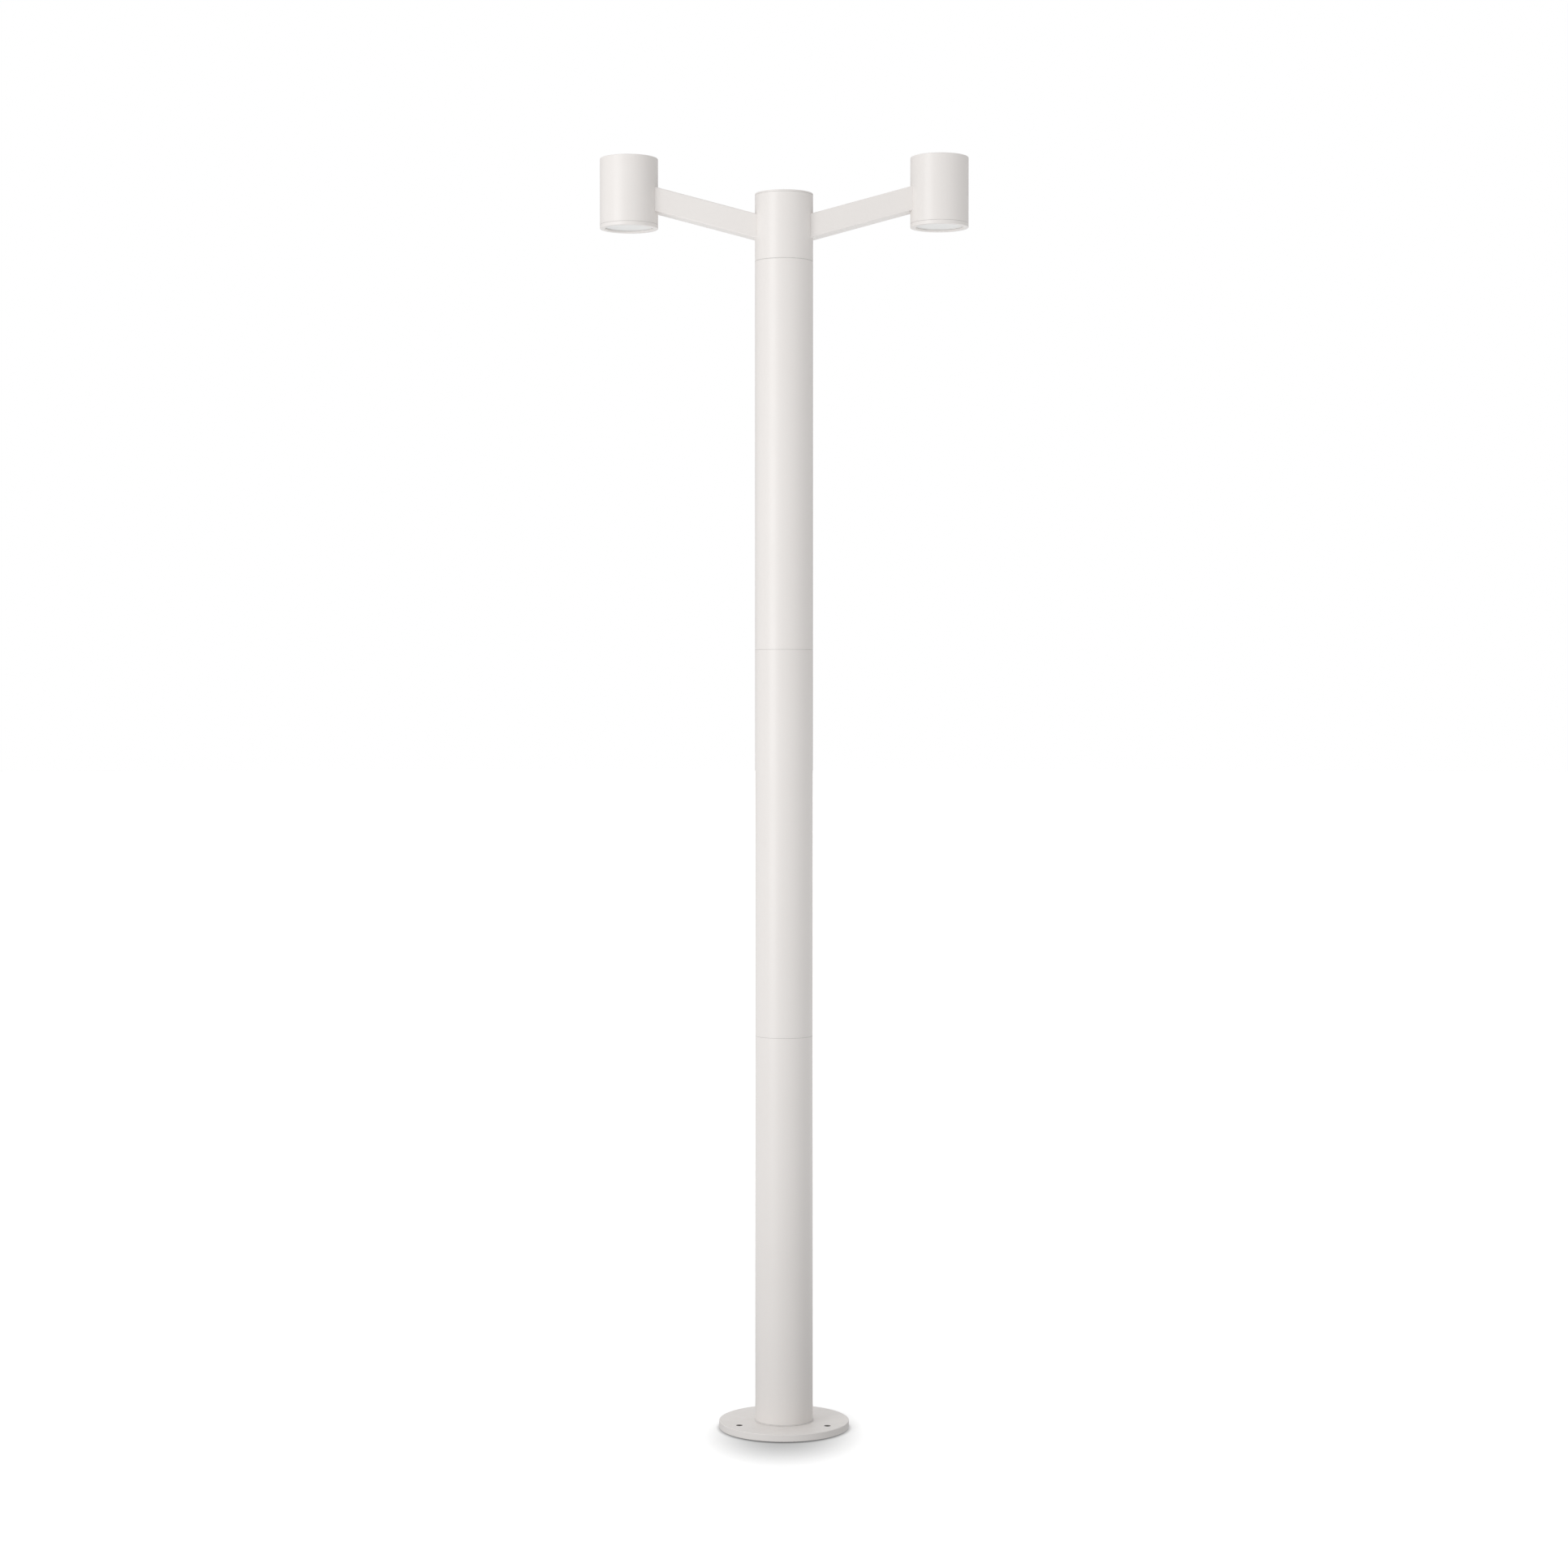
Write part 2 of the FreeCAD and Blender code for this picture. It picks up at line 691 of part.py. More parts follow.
def lamp():
    rim_r = lamp_diameter / 2
    neck_radius = lamp_neck_diameter / 2
    rim_top = lamp_face + lamp_rim_height
    neck_low = lamp_top - lamp_neck_length
    outline = [(0, lamp_face), (rim_r - 1, lamp_face), (rim_r, lamp_face + 1), (rim_r, rim_top)]
    outline += [(neck_radius, neck_low), (neck_radius, lamp_top), (0, lamp_top)]
    pieces = [turned(outline, head_reach)]
    for side in (-1, 1):
        x = head_reach + side * pin_spacing / 2
        pieces.append(rod(pin_diameter / 2, point(x, 0, lamp_top), up, pin_length))
        foot_low = lamp_top + pin_length - pin_foot_length
        pieces.append(rod(pin_foot_diameter / 2, point(x, 0, foot_low), up, pin_foot_length))
    return joined(pieces)


def reflector():
    # a flange under the shell's ledge and a cone that narrows up to the lamp's rim
    flange_low = ledge_bottom - reflector_wall
    mouth_r = head_inner_r - reflector_flange - turning_clearance
    flange_r = head_inner_r - 2 * turning_clearance
    cone_top = lamp_face + lamp_rim_height / 2
    outline = [(mouth_r, flange_low), (flange_r, flange_low), (flange_r, ledge_bottom)]
    outline += [(mouth_r, ledge_bottom), (reflector_neck_r + reflector_wall, cone_top)]
    outline += [(reflector_neck_r, cone_top), (mouth_r - reflector_wall, ledge_bottom)]
    outline += [(mouth_r - reflector_wall, flange_low)]
    body = turned(outline, head_reach)
    return drilled(body, [screw_hole(screw_m3, s, up, reflector_wall) for s in reflector_screw_seats(flange_low)])


def reflector_screws():
    screw = pan_screw(screw_m3, reflector_wall + reflector_screw_grip)
    screws = [aimed(screw, seat, up) for seat in reflector_screw_seats(ledge_bottom - reflector_wall)]
    return Part.makeCompound(screws + [mirrored(one) for one in screws])


# Screwed ring and what it carries

def lens_ring():
    clip_r = neck_inner_r + lens_clip_bite
    clip_low = lens_top + seating_gap
    clip_high = clip_low + lens_clip_thickness + seating_gap
    seat = head_bottom + ring_lip_thickness
    outline = [(lip_r, head_bottom), (head_r, head_bottom), (head_r, shell_bottom - seam_chamfer)]
    outline += [(head_r - seam_chamfer, shell_bottom), (neck_r, shell_bottom), (neck_r, neck_top)]
    outline += [(neck_inner_r, neck_top), (neck_inner_r, clip_high), (clip_r, clip_high)]
    outline += [(clip_r, clip_low), (neck_inner_r, clip_low), (neck_inner_r, seat), (lip_r, seat)]
    ring = turned(outline, head_reach)
    return ring.makeFillet(seam_chamfer * 3, rim_edges(ring, head_r, head_bottom))


def lens_gasket():
    low = head_bottom + ring_lip_thickness
    return tube(lens_r, lip_r + turning_clearance, low, gasket_top, head_reach)


def lens():
    bevel = lens_thickness / 8
    outline = [(0, gasket_top), (lens_r, gasket_top), (lens_r, lens_top - bevel)]
    outline += [(lens_r - bevel, lens_top), (0, lens_top)]
    return turned(outline, head_reach)


def lens_clip():
    # an open spring ring that snaps into the neck's inner groove
    outer_r = neck_inner_r + lens_clip_bite - flush_gap
    low = lens_top + seating_gap + flush_gap
    ring = tube(outer_r, outer_r - lens_clip_width, low, low + lens_clip_thickness, head_reach)
    opening = block(point(outer_r, lens_clip_width * 3, lens_clip_thickness * 4),
                    point(head_reach + outer_r, 0, low))
    return ring.cut(opening)


def ring_seal():
    inner_r = head_inner_r + seating_gap / 2
    return tube(inner_r + ring_seal_width, inner_r, shell_bottom, shell_bottom + ring_seal_thickness, head_reach)


def build_parts():
    seams = seam_heights()
    parts = {
        "foot_plate": foot_plate(),
        "foot_seal": foot_seal(),
        "foot_spigot": foot_spigot(),
        "foot_screws": foot_screws(),
        "pole_screws": pole_screws(),
        "hub_spigot": hub_spigot(),
        "terminal_block": terminal_block(),
        "terminal_screws": terminal_screws(),
        "earth_stud": earth_stud(),
        "hub_washer": hub_washer(),
        "hub_tube": hub_tube(),
        "hub_grub_screws": hub_grub_screws(),
        "hub_cap": hub_cap(),
        "hub_cap_seal": hub_cap_seal(),
        "hub_cap_screw": hub_cap_screw(),
        "arm_screws": arm_screws(),
        "lead_glands": lead_glands(),
        "bracket_screws": bracket_screws(),
        "holder_screws": holder_screws(),
        "reflector_screws": reflector_screws(),
    }
    for index in range(section_count):
        parts[f"pole_section_{index + 1}"] = pole_section(index)
    for index, seam in enumerate(seams):
        parts[f"pole_coupler_{index + 1}"] = coupler(seam)
    handed = {
        "arm": arm(),
        "head_shell": head_shell(),
        "lampholder_bracket": lampholder_bracket(),
        "lampholder": lampholder(),
        "lamp": lamp(),
        "reflector": reflector(),
        "lens_ring": lens_ring(),
        "lens_gasket": lens_gasket(),
        "lens": lens(),
        "lens_clip": lens_clip(),
        "ring_seal": ring_seal(),
    }
    for name, shape in handed.items():
        parts[name + "_right"] = shape
        parts[name + "_left"] = mirrored(shape)
    return parts


def write_parts(parts):
    os.makedirs("parts", exist_ok=True)
    for name, shape in sorted(parts.items()):
        solids = shape.Solids
        whole = solids[0] if len(solids) == 1 else Part.makeCompound(solids)
        whole.exportStep(f"parts/{name}.step")
        print(name, len(solids), round(whole.Volume, 1), whole.isValid())


write_parts(build_parts())
print("overall height", round(head_top, 2))
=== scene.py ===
import bmesh
import bpy
import json
import math
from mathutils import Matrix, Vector


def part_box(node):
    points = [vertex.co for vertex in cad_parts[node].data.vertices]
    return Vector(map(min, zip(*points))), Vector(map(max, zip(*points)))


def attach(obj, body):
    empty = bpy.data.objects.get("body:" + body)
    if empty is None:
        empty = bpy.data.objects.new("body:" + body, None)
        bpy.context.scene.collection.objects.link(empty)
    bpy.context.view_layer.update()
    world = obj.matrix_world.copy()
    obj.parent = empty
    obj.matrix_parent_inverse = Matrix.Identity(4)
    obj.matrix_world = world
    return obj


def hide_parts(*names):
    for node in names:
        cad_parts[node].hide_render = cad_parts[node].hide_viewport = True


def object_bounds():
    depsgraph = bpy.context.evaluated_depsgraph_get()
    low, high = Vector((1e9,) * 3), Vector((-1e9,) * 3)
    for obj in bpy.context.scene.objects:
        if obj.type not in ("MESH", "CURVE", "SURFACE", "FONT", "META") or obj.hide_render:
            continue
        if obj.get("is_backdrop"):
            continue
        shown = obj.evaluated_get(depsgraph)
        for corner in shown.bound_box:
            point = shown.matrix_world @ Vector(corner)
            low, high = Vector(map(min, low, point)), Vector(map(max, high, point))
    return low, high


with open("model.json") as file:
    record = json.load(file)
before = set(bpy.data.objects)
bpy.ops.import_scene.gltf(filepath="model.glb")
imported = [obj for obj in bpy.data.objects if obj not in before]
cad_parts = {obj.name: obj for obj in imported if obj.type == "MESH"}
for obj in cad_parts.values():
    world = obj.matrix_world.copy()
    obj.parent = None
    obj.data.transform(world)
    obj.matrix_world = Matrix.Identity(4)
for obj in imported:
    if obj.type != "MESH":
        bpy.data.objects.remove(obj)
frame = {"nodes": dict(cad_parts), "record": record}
cadLow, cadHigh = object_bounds()
cadNodes = frame["nodes"]
print("frame loaded,", len(cadNodes), "nodes")


# node helpers

def addNode(tree, kind, inputs=None, **settings):
    node = tree.nodes.new(kind)
    for name, value in settings.items():
        setattr(node, name, value)
    for name, value in (inputs or {}).items():
        if isinstance(value, bpy.types.NodeSocket):
            tree.links.new(value, node.inputs[name])
        else:
            node.inputs[name].default_value = value
    return node


def mathNode(tree, operation, first, second=0.0, clamp=False):
    node = addNode(tree, "ShaderNodeMath", {0: first, 1: second}, operation=operation, use_clamp=clamp)
    return node.outputs[0]


def remap(tree, value, fromLow, fromHigh, toLow=0.0, toHigh=1.0):
    inputs = {"Value": value, "From Min": fromLow, "From Max": fromHigh, "To Min": toLow, "To Max": toHigh}
    return addNode(tree, "ShaderNodeMapRange", inputs, interpolation_type="SMOOTHSTEP").outputs["Result"]


def noise(tree, vector, scale, detail, roughness=0.5):
    inputs = {"Vector": vector, "Scale": scale, "Detail": detail, "Roughness": roughness}
    return addNode(tree, "ShaderNodeTexNoise", inputs).outputs["Fac"]


def objectPoint(tree):
    return addNode(tree, "ShaderNodeTexCoord").outputs["Object"]


def mixColour(tree, factor, first, second):
    inputs = {"Factor": factor, "A": first, "B": second}
    return addNode(tree, "ShaderNodeMix", inputs, data_type="RGBA").outputs["Result"]


def vectorMath(tree, operation, first, second=(0.0, 0.0, 0.0)):
    return addNode(tree, "ShaderNodeVectorMath", {0: first, 1: second}, operation=operation).outputs


def splitAxes(tree, vector):
    return addNode(tree, "ShaderNodeSeparateXYZ", {"Vector": vector}).outputs


def joinAxes(tree, **axes):
    return addNode(tree, "ShaderNodeCombineXYZ", axes).outputs[0]


# shared effects, as shader node groups

def startGroup(name, inputs, output):
    group = bpy.data.node_groups.new(name, "ShaderNodeTree")
    for label, default in inputs.items():
        socket = group.interface.new_socket(label, in_out="INPUT", socket_type="NodeSocketFloat")
        socket.default_value = default
    group.interface.new_socket(output, in_out="OUTPUT", socket_type="NodeSocketFloat")
    return group, group.nodes.new("NodeGroupInput"), group.nodes.new("NodeGroupOutput")


def buildOrangePeel():
    # the soft dimpling of sprayed powder: a fine and a broad wave
    sizes = {"Fine": 650.0, "Broad": 170.0, "Balance": 0.6}
    group, given, result = startGroup("orangePeel", sizes, "Height")
    place = objectPoint(group)
    fine = noise(group, place, given.outputs["Fine"], 1.5)
    broad = noise(group, place, given.outputs["Broad"], 1.0)
    fineShare = mathNode(group, "MULTIPLY", fine, given.outputs["Balance"])
    rest = mathNode(group, "SUBTRACT", 1.0, given.outputs["Balance"])
    broadShare = mathNode(group, "MULTIPLY", broad, rest)
    group.links.new(mathNode(group, "ADD", fineShare, broadShare), result.inputs["Height"])
    return group


def buildToneDrift():
    # slow change of film thickness over a piece
    group, given, result = startGroup("toneDrift", {"Scale": 4.0, "Contrast": 1.0}, "Tone")
    drift = noise(group, objectPoint(group), given.outputs["Scale"], 3.0, 0.55)
    centred = mathNode(group, "SUBTRACT", drift, 0.5)
    spread = mathNode(group, "MULTIPLY", centred, given.outputs["Contrast"])
    group.links.new(mathNode(group, "ADD", spread, 0.5, clamp=True), result.inputs["Tone"])
    return group


def buildSettledDust():
    # dust lies on faces that look up, in soft patches
    group, given, result = startGroup("settledDust", {"Amount": 0.5, "Scale": 60.0}, "Dust")
    normal = addNode(group, "ShaderNodeNewGeometry").outputs["Normal"]
    facing = remap(group, splitAxes(group, normal)["Z"], 0.55, 0.98)  # from a steep slope to nearly level
    clouds = noise(group, objectPoint(group), given.outputs["Scale"], 5.0, 0.65)
    patches = remap(group, clouds, 0.35, 0.75)  # from bare to covered
    dust = mathNode(group, "MULTIPLY", facing, patches)
    group.links.new(mathNode(group, "MULTIPLY", dust, given.outputs["Amount"]), result.inputs["Dust"])
    return group


def buildHandlingMarks():
    # faint wiped and touched patches that only change the gloss
    group, given, result = startGroup("handlingMarks", {"Scale": 9.0, "Amount": 1.0}, "Marks")
    inputs = {"Vector": objectPoint(group), "Scale": (1.0, 1.0, 0.35)}  # drawn out along the height
    stretched = addNode(group, "ShaderNodeMapping", inputs).outputs["Vector"]
    broad = noise(group, stretched, given.outputs["Scale"], 4.0, 0.6)
    touched = remap(group, broad, 0.48, 0.72)  # only the upper part of the noise leaves a mark
    marks = mathNode(group, "MULTIPLY", touched, given.outputs["Amount"])
    group.links.new(marks, result.inputs["Marks"])
    return group


def buildSeamGrimeAndShade():
    # a hairline of grime and painted shade in the joint at one height
    group, given, result = startGroup("seamGrimeAndShade", {"Height": 0.0, "Width": 0.0004}, "Darkening")
    height = splitAxes(group, objectPoint(group))["Z"]
    offset = mathNode(group, "ABSOLUTE", mathNode(group, "SUBTRACT", height, given.outputs["Height"]))
    share = mathNode(group, "DIVIDE", offset, given.outputs["Width"])
    group.links.new(mathNode(group, "SUBTRACT", 1.0, share, clamp=True), result.inputs["Darkening"])
    return group


def buildBoreShade():
    # painted shade in holes that stand evenly on a circle, one of them at +Y, below the face that they open
    # in
    sizes = {"Holes": 3.0, "Circle Radius": 0.09, "Hole Radius": 0.006, "Face": 0.012}
    group, given, result = startGroup("boreShade", sizes, "Darkening")
    place = splitAxes(group, objectPoint(group))
    turn = mathNode(group, "ARCTAN2", place["X"], place["Y"])
    step = mathNode(group, "DIVIDE", 2 * math.pi, given.outputs["Holes"])
    halfStep = mathNode(group, "MULTIPLY", step, 0.5)
    wrapped = mathNode(group, "FLOORED_MODULO", mathNode(group, "ADD", turn, halfStep), step)
    folded = mathNode(group, "SUBTRACT", wrapped, halfStep)
    radius = vectorMath(group, "LENGTH", joinAxes(group, X=place["X"], Y=place["Y"]))["Value"]
    across = mathNode(group, "MULTIPLY", radius, mathNode(group, "SINE", folded))
    along = mathNode(group, "MULTIPLY", radius, mathNode(group, "COSINE", folded))
    offset = mathNode(group, "SUBTRACT", along, given.outputs["Circle Radius"])
    reach = vectorMath(group, "LENGTH", joinAxes(group, X=across, Y=offset))["Value"]
    inside = mathNode(group, "LESS_THAN", reach, given.outputs["Hole Radius"])
    sunk = mathNode(group, "SUBTRACT", given.outputs["Face"], place["Z"])
    depth = remap(group, sunk, 0.0, 0.0006)  # full from 0.6 mm down
    group.links.new(mathNode(group, "MULTIPLY", inside, depth), result.inputs["Darkening"])
    return group


def buildToolMarks():
    # fine rings left by turning, about the vertical
    group, given, result = startGroup("toolMarks", {"Pitch": 0.0006}, "Height")
    place = splitAxes(group, objectPoint(group))
    radius = vectorMath(group, "LENGTH", joinAxes(group, X=place["X"], Y=place["Y"]))["Value"]
    along = mathNode(group, "ADD", radius, place["Z"])
    turns = mathNode(group, "DIVIDE", along, given.outputs["Pitch"])
    wave = mathNode(group, "SINE", mathNode(group, "MULTIPLY", turns, 2 * math.pi))
    group.links.new(wave, result.inputs["Height"])
    return group


effects = {
    "orangePeel": buildOrangePeel(),
    "toneDrift": buildToneDrift(),
    "settledDust": buildSettledDust(),
    "handlingMarks": buildHandlingMarks(),
    "seamGrimeAndShade": buildSeamGrimeAndShade(),
    "boreShade": buildBoreShade(),
    "toolMarks": buildToolMarks(),
}
print("shared effects built:", len(effects))


def effect(tree, name, **values):
    node = tree.nodes.new("ShaderNodeGroup")
    node.node_tree = effects[name]
    for label, value in values.items():
        node.inputs[label].default_value = value
    return node.outputs[0]


# materials

def newMaterial(name, **fixed):
    # fixed: numbers and colours that are the same all over, set on the shader's own sockets
    material = bpy.data.materials.new(name)
    material.use_nodes = True
    tree = material.node_tree
    shader = tree.nodes["Principled BSDF"]
    for label, value in fixed.items():
        shader.inputs[label].default_value = value
    return material, tree, shader


def bump(tree, shader, height, distance):
    node = addNode(tree, "ShaderNodeBump", {"Height": height, "Distance": distance})
    tree.links.new(node.outputs["Normal"], shader.inputs["Normal"])


coating = {
    "colour": (0.84, 0.808, 0.785, 1.0),
    "thinColour": (0.815, 0.782, 0.758, 1.0),
    "dustColour": (0.60, 0.57, 0.53, 1.0),
    "seamGrimeAndShadeColour": (0.30, 0.285, 0.27, 1.0),
    "boreShadeColour": (0.13, 0.122, 0.115, 1.0),
    "gloss": 0.36,
    "peel": {"Fine": 520.0, "Broad": 150.0, "Balance": 0.55},
    "peelDepth": 0.00016,
    "dust": 0.14,
    "dustDulls": 0.3,  # how much rougher the dust makes it
    "seamLineWidth": 0.0003,
    "toneScale": 5.0,
    "toneContrast": 1.6,
    "markScale": 9.0,
    "marks": 0.07,
    "dustScale": 45.0,
}


def powderCoat(name, seams=(), bores=None):
    # seams: the heights of the joints, which get grime and a painted shade line; bores: where the holes are,
    # if they get painted shade
    material, tree, shader = newMaterial(name, **{"IOR": 1.5, "Specular IOR Level": 0.5})
    tone = effect(tree, "toneDrift", Scale=coating["toneScale"], Contrast=coating["toneContrast"])
    colour = mixColour(tree, tone, coating["thinColour"], coating["colour"])
    dust = effect(tree, "settledDust", Amount=coating["dust"], Scale=coating["dustScale"])
    colour = mixColour(tree, dust, colour, coating["dustColour"])
    for height in seams:
        # a painted shade line, with grime, in each joint
        seamDarkening = effect(tree, "seamGrimeAndShade", Height=height, Width=coating["seamLineWidth"])
        colour = mixColour(tree, seamDarkening, colour, coating["seamGrimeAndShadeColour"])
    if bores:
        # painted shade inside the holes
        colour = mixColour(tree, effect(tree, "boreShade", **bores), colour, coating["boreShadeColour"])
    tree.links.new(colour, shader.inputs["Base Color"])
    marks = effect(tree, "handlingMarks", Scale=coating["markScale"], Amount=coating["marks"])
    dull = mathNode(tree, "MULTIPLY", dust, coating["dustDulls"])
    rough = mathNode(tree, "ADD", mathNode(tree, "ADD", marks, coating["gloss"]), dull)
    tree.links.new(rough, shader.inputs["Roughness"])
    bump(tree, shader, effect(tree, "orangePeel", **coating["peel"]), coating["peelDepth"])
    return material


# metals: two tones that drift into each other, rubbed patches, and turning rings where there is a pitch

metals = {
    "zincSteel": {"dark": (0.50, 0.51, 0.52, 1.0), "light": (0.66, 0.66, 0.64, 1.0), "toneScale": 220.0,
                  "contrast": 2.0, "markScale": 160.0, "marks": 0.2, "rough": 0.28,
                  "pitch": 0.0004, "ringDepth": 0.00001},
    "turnedAluminium": {"dark": (0.66, 0.67, 0.68, 1.0), "light": (0.78, 0.78, 0.79, 1.0), "toneScale": 30.0,
                        "contrast": 1.5, "markScale": 30.0, "marks": 0.15, "rough": 0.3,
                        "pitch": 0.0006, "ringDepth": 0.00002},
    "satinReflector": {"dark": (0.80, 0.81, 0.82, 1.0), "light": (0.88, 0.88, 0.89, 1.0), "toneScale": 40.0,
                       "contrast": 1.2, "markScale": 35.0, "marks": 0.1, "rough": 0.18},
    "plainBrass": {"dark": (0.62, 0.47, 0.22, 1.0), "light": (0.78, 0.62, 0.33, 1.0), "toneScale": 120.0,
                   "contrast": 2.0, "markScale": 90.0, "marks": 0.2, "rough": 0.25},
}


def toneAndMarks(tree, shader, look):
    # links the drifting colour, and the roughness with its marks
    tone = effect(tree, "toneDrift", Scale=look["toneScale"], Contrast=look["contrast"])
    colour = mixColour(tree, tone, look["dark"], look["light"])
    if "dust" in look:
        cover = effect(tree, "settledDust", Amount=look["dust"], Scale=look["dustScale"])
        colour = mixColour(tree, cover, colour, coating["dustColour"])
    tree.links.new(colour, shader.inputs["Base Color"])
    marks = effect(tree, "handlingMarks", Scale=look["markScale"], Amount=look["marks"])
    tree.links.new(mathNode(tree, "ADD", marks, look["rough"]), shader.inputs["Roughness"])


def metal(name):
    look = metals[name]
    material, tree, shader = newMaterial(name, Metallic=1.0)
    toneAndMarks(tree, shader, look)
    if "pitch" in look:
        bump(tree, shader, effect(tree, "toolMarks", Pitch=look["pitch"]), look["ringDepth"])
    return material


# rubber, nylon, plastic and ceramic: a mottled colour and a fine moulded grain

mouldings = {
    "sealRubber": {"dark": (0.50, 0.49, 0.48, 1.0), "light": (0.60, 0.59, 0.58, 1.0), "rough": 0.6,
                   "grainDepth": 0.00003, "dust": 0.3},
    "paleSealRubber": {"dark": (0.70, 0.68, 0.66, 1.0), "light": (0.77, 0.75, 0.73, 1.0), "rough": 0.55,
                       "grainDepth": 0.00003, "dust": 0.15},
    "naturalNylon": {"dark": (0.74, 0.73, 0.70, 1.0), "light": (0.82, 0.81, 0.78, 1.0), "rough": 0.45,
                     "grainDepth": 0.00002},
    "terminalPlastic": {"dark": (0.82, 0.81, 0.77, 1.0), "light": (0.90, 0.89, 0.85, 1.0), "rough": 0.4,
                        "grainDepth": 0.00002},
    "unglazedCeramic": {"dark": (0.86, 0.84, 0.79, 1.0), "light": (0.93, 0.92, 0.88, 1.0), "rough": 0.7,
                        "grainDepth": 0.00004},
    "lampPlastic": {"dark": (0.86, 0.86, 0.85, 1.0), "light": (0.92, 0.92, 0.91, 1.0), "rough": 0.25,
                    "grainDepth": 0.00001},
}
mouldedSurface = {
    "toneScale": 70.0,
    "contrast": 1.8,
    "markScale": 60.0,
    "marks": 0.1,
    "dustScale": 90.0,
    "grain": {"Fine": 2400.0, "Broad": 600.0, "Balance": 0.7},
}


def moulded(name):
    look = {**mouldedSurface, **mouldings[name]}
    material, tree, shader = newMaterial(name)
    toneAndMarks(tree, shader, look)
    bump(tree, shader, effect(tree, "orangePeel", **look["grain"]), look["grainDepth"])
    return material


frostedLens = {
    "dark": (0.92, 0.92, 0.91, 1.0),
    "light": (0.95, 0.95, 0.94, 1.0),
    "toneScale": 25.0,
    "contrast": 1.2,
    "markScale": 25.0,
    "marks": 0.12,
    "rough": 0.45,
    "grain": {"Fine": 3200.0, "Broad": 900.0, "Balance": 0.7},
    "grainDepth": 0.00001,
    "clearness": 0.06,
    "bend": 1.49,
}


def opalGlass():
    fixed = {"Transmission Weight": frostedLens["clearness"], "IOR": frostedLens["bend"]}
    material, tree, shader = newMaterial("opalGlass", **fixed)
    toneAndMarks(tree, shader, frostedLens)
    bump(tree, shader, effect(tree, "orangePeel", **frostedLens["grain"]), frostedLens["grainDepth"])
    return material


def dress(node, material):
    mesh = cadNodes[node].data
    mesh.materials.clear()
    mesh.materials.append(material)


def seamsOf(node):
    low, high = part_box(node)
    return (low.z, high.z)


coatedArm = powderCoat("powderCoat")
for node in ("arm_left", "arm_right"):
    dress(node, coatedArm)
anchors = next(mount for mount in frame["record"]["mounts"] if mount["name"] == "anchor_holes")
plateBores = {
    "Holes": float(anchors["dims"]["count"]),
    "Circle Radius": anchors["dims"]["pcd_mm"] / 2000,
    "Hole Radius": anchors["dims"]["hole_r_mm"] / 1000 + 0.001,  # 1 mm more, to take in the chamfer
    "Face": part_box("foot_plate")[1].z,
}
dress("foot_plate", powderCoat("powderCoat_foot_plate", bores=plateBores))
for node in ("pole_section_1", "pole_section_2", "pole_section_3", "hub_tube"):
    dress(node, powderCoat("powderCoat_" + node, seamsOf(node)))
dress("hub_cap", powderCoat("powderCoat_hub_cap", (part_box("hub_tube")[1].z,)))
coatedHead = powderCoat("powderCoat_head", (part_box("head_shell_left")[0].z,))
for side in ("left", "right"):
    dress("head_shell_" + side, coatedHead)
    dress("lens_ring_" + side, coatedHead)

finishBySlot = {
    "sleeve_metal": metal("turnedAluminium"),
    "screw_steel": metal("zincSteel"),
    "seal_rubber": moulded("sealRubber"),
    "nylon": moulded("naturalNylon"),
    "terminal_plastic": moulded("terminalPlastic"),
    "holder_ceramic": moulded("unglazedCeramic"),
    "lamp_plastic": moulded("lampPlastic"),
    "reflector_metal": metal("satinReflector"),
    "lens_glass": opalGlass(),
    "brass": metal("plainBrass"),
}
for subpart in frame["record"]["subparts"]:
    if subpart["material_slot"] in finishBySlot:
        dress(subpart["node"], finishBySlot[subpart["material_slot"]])
print("materials dressed")


# geometry node helpers

def startTree(name, sizes, onPoints=False):
    # onPoints: the tree puts copies on points, with a seed for how each is turned
    tree = bpy.data.node_groups.new(name, "GeometryNodeTree")
    tree.interface.new_socket("Geometry", in_out="OUTPUT", socket_type="NodeSocketGeometry")
    if onPoints:
        tree.interface.new_socket("Geometry", in_out="INPUT", socket_type="NodeSocketGeometry")
        tree.interface.new_socket("Seed", in_out="INPUT", socket_type="NodeSocketInt")
    for label, default in sizes.items():
        socket = tree.interface.new_socket(label, in_out="INPUT", socket_type="NodeSocketFloat")
        socket.default_value = default
    tree.interface.new_socket("Material", in_out="INPUT", socket_type="NodeSocketMaterial")
    return tree, tree.nodes.new("NodeGroupInput").outputs, tree.nodes.new("NodeGroupOutput")


def choice(tree, values):
    # one value for each point of a short line, in order
    index = addNode(tree, "GeometryNodeInputIndex").outputs[0]
    node = addNode(tree, "GeometryNodeIndexSwitch", data_type="FLOAT")
    while len(node.index_switch_items) < len(values):
        node.index_switch_items.new()
    tree.links.new(index, node.inputs["Index"])
    for number, value in enumerate(values):
        socket = node.inputs[number + 1]
        if isinstance(value, bpy.types.NodeSocket):
            tree.links.new(value, socket)
        else:
            socket.default_value = value
    return node.outputs[0]


def crispEdges(tree, mesh, degrees=35.0):
    # smooth faces, with every edge sharper than this kept hard
    inputs = {"Geometry": mesh, "Shade Smooth": True}
    smooth = addNode(tree, "GeometryNodeSetShadeSmooth", inputs, domain="FACE").outputs[0]
    angle = addNode(tree, "GeometryNodeInputMeshEdgeAngle").outputs["Unsigned Angle"]
    inputs = {0: angle, 1: math.radians(degrees)}
    sharp = addNode(tree, "FunctionNodeCompare", inputs, operation="GREATER_THAN").outputs[0]
    inputs = {"Geometry": smooth, "Selection": sharp, "Shade Smooth": False}
    return addNode(tree, "GeometryNodeSetShadeSmooth", inputs, domain="EDGE").outputs[0]


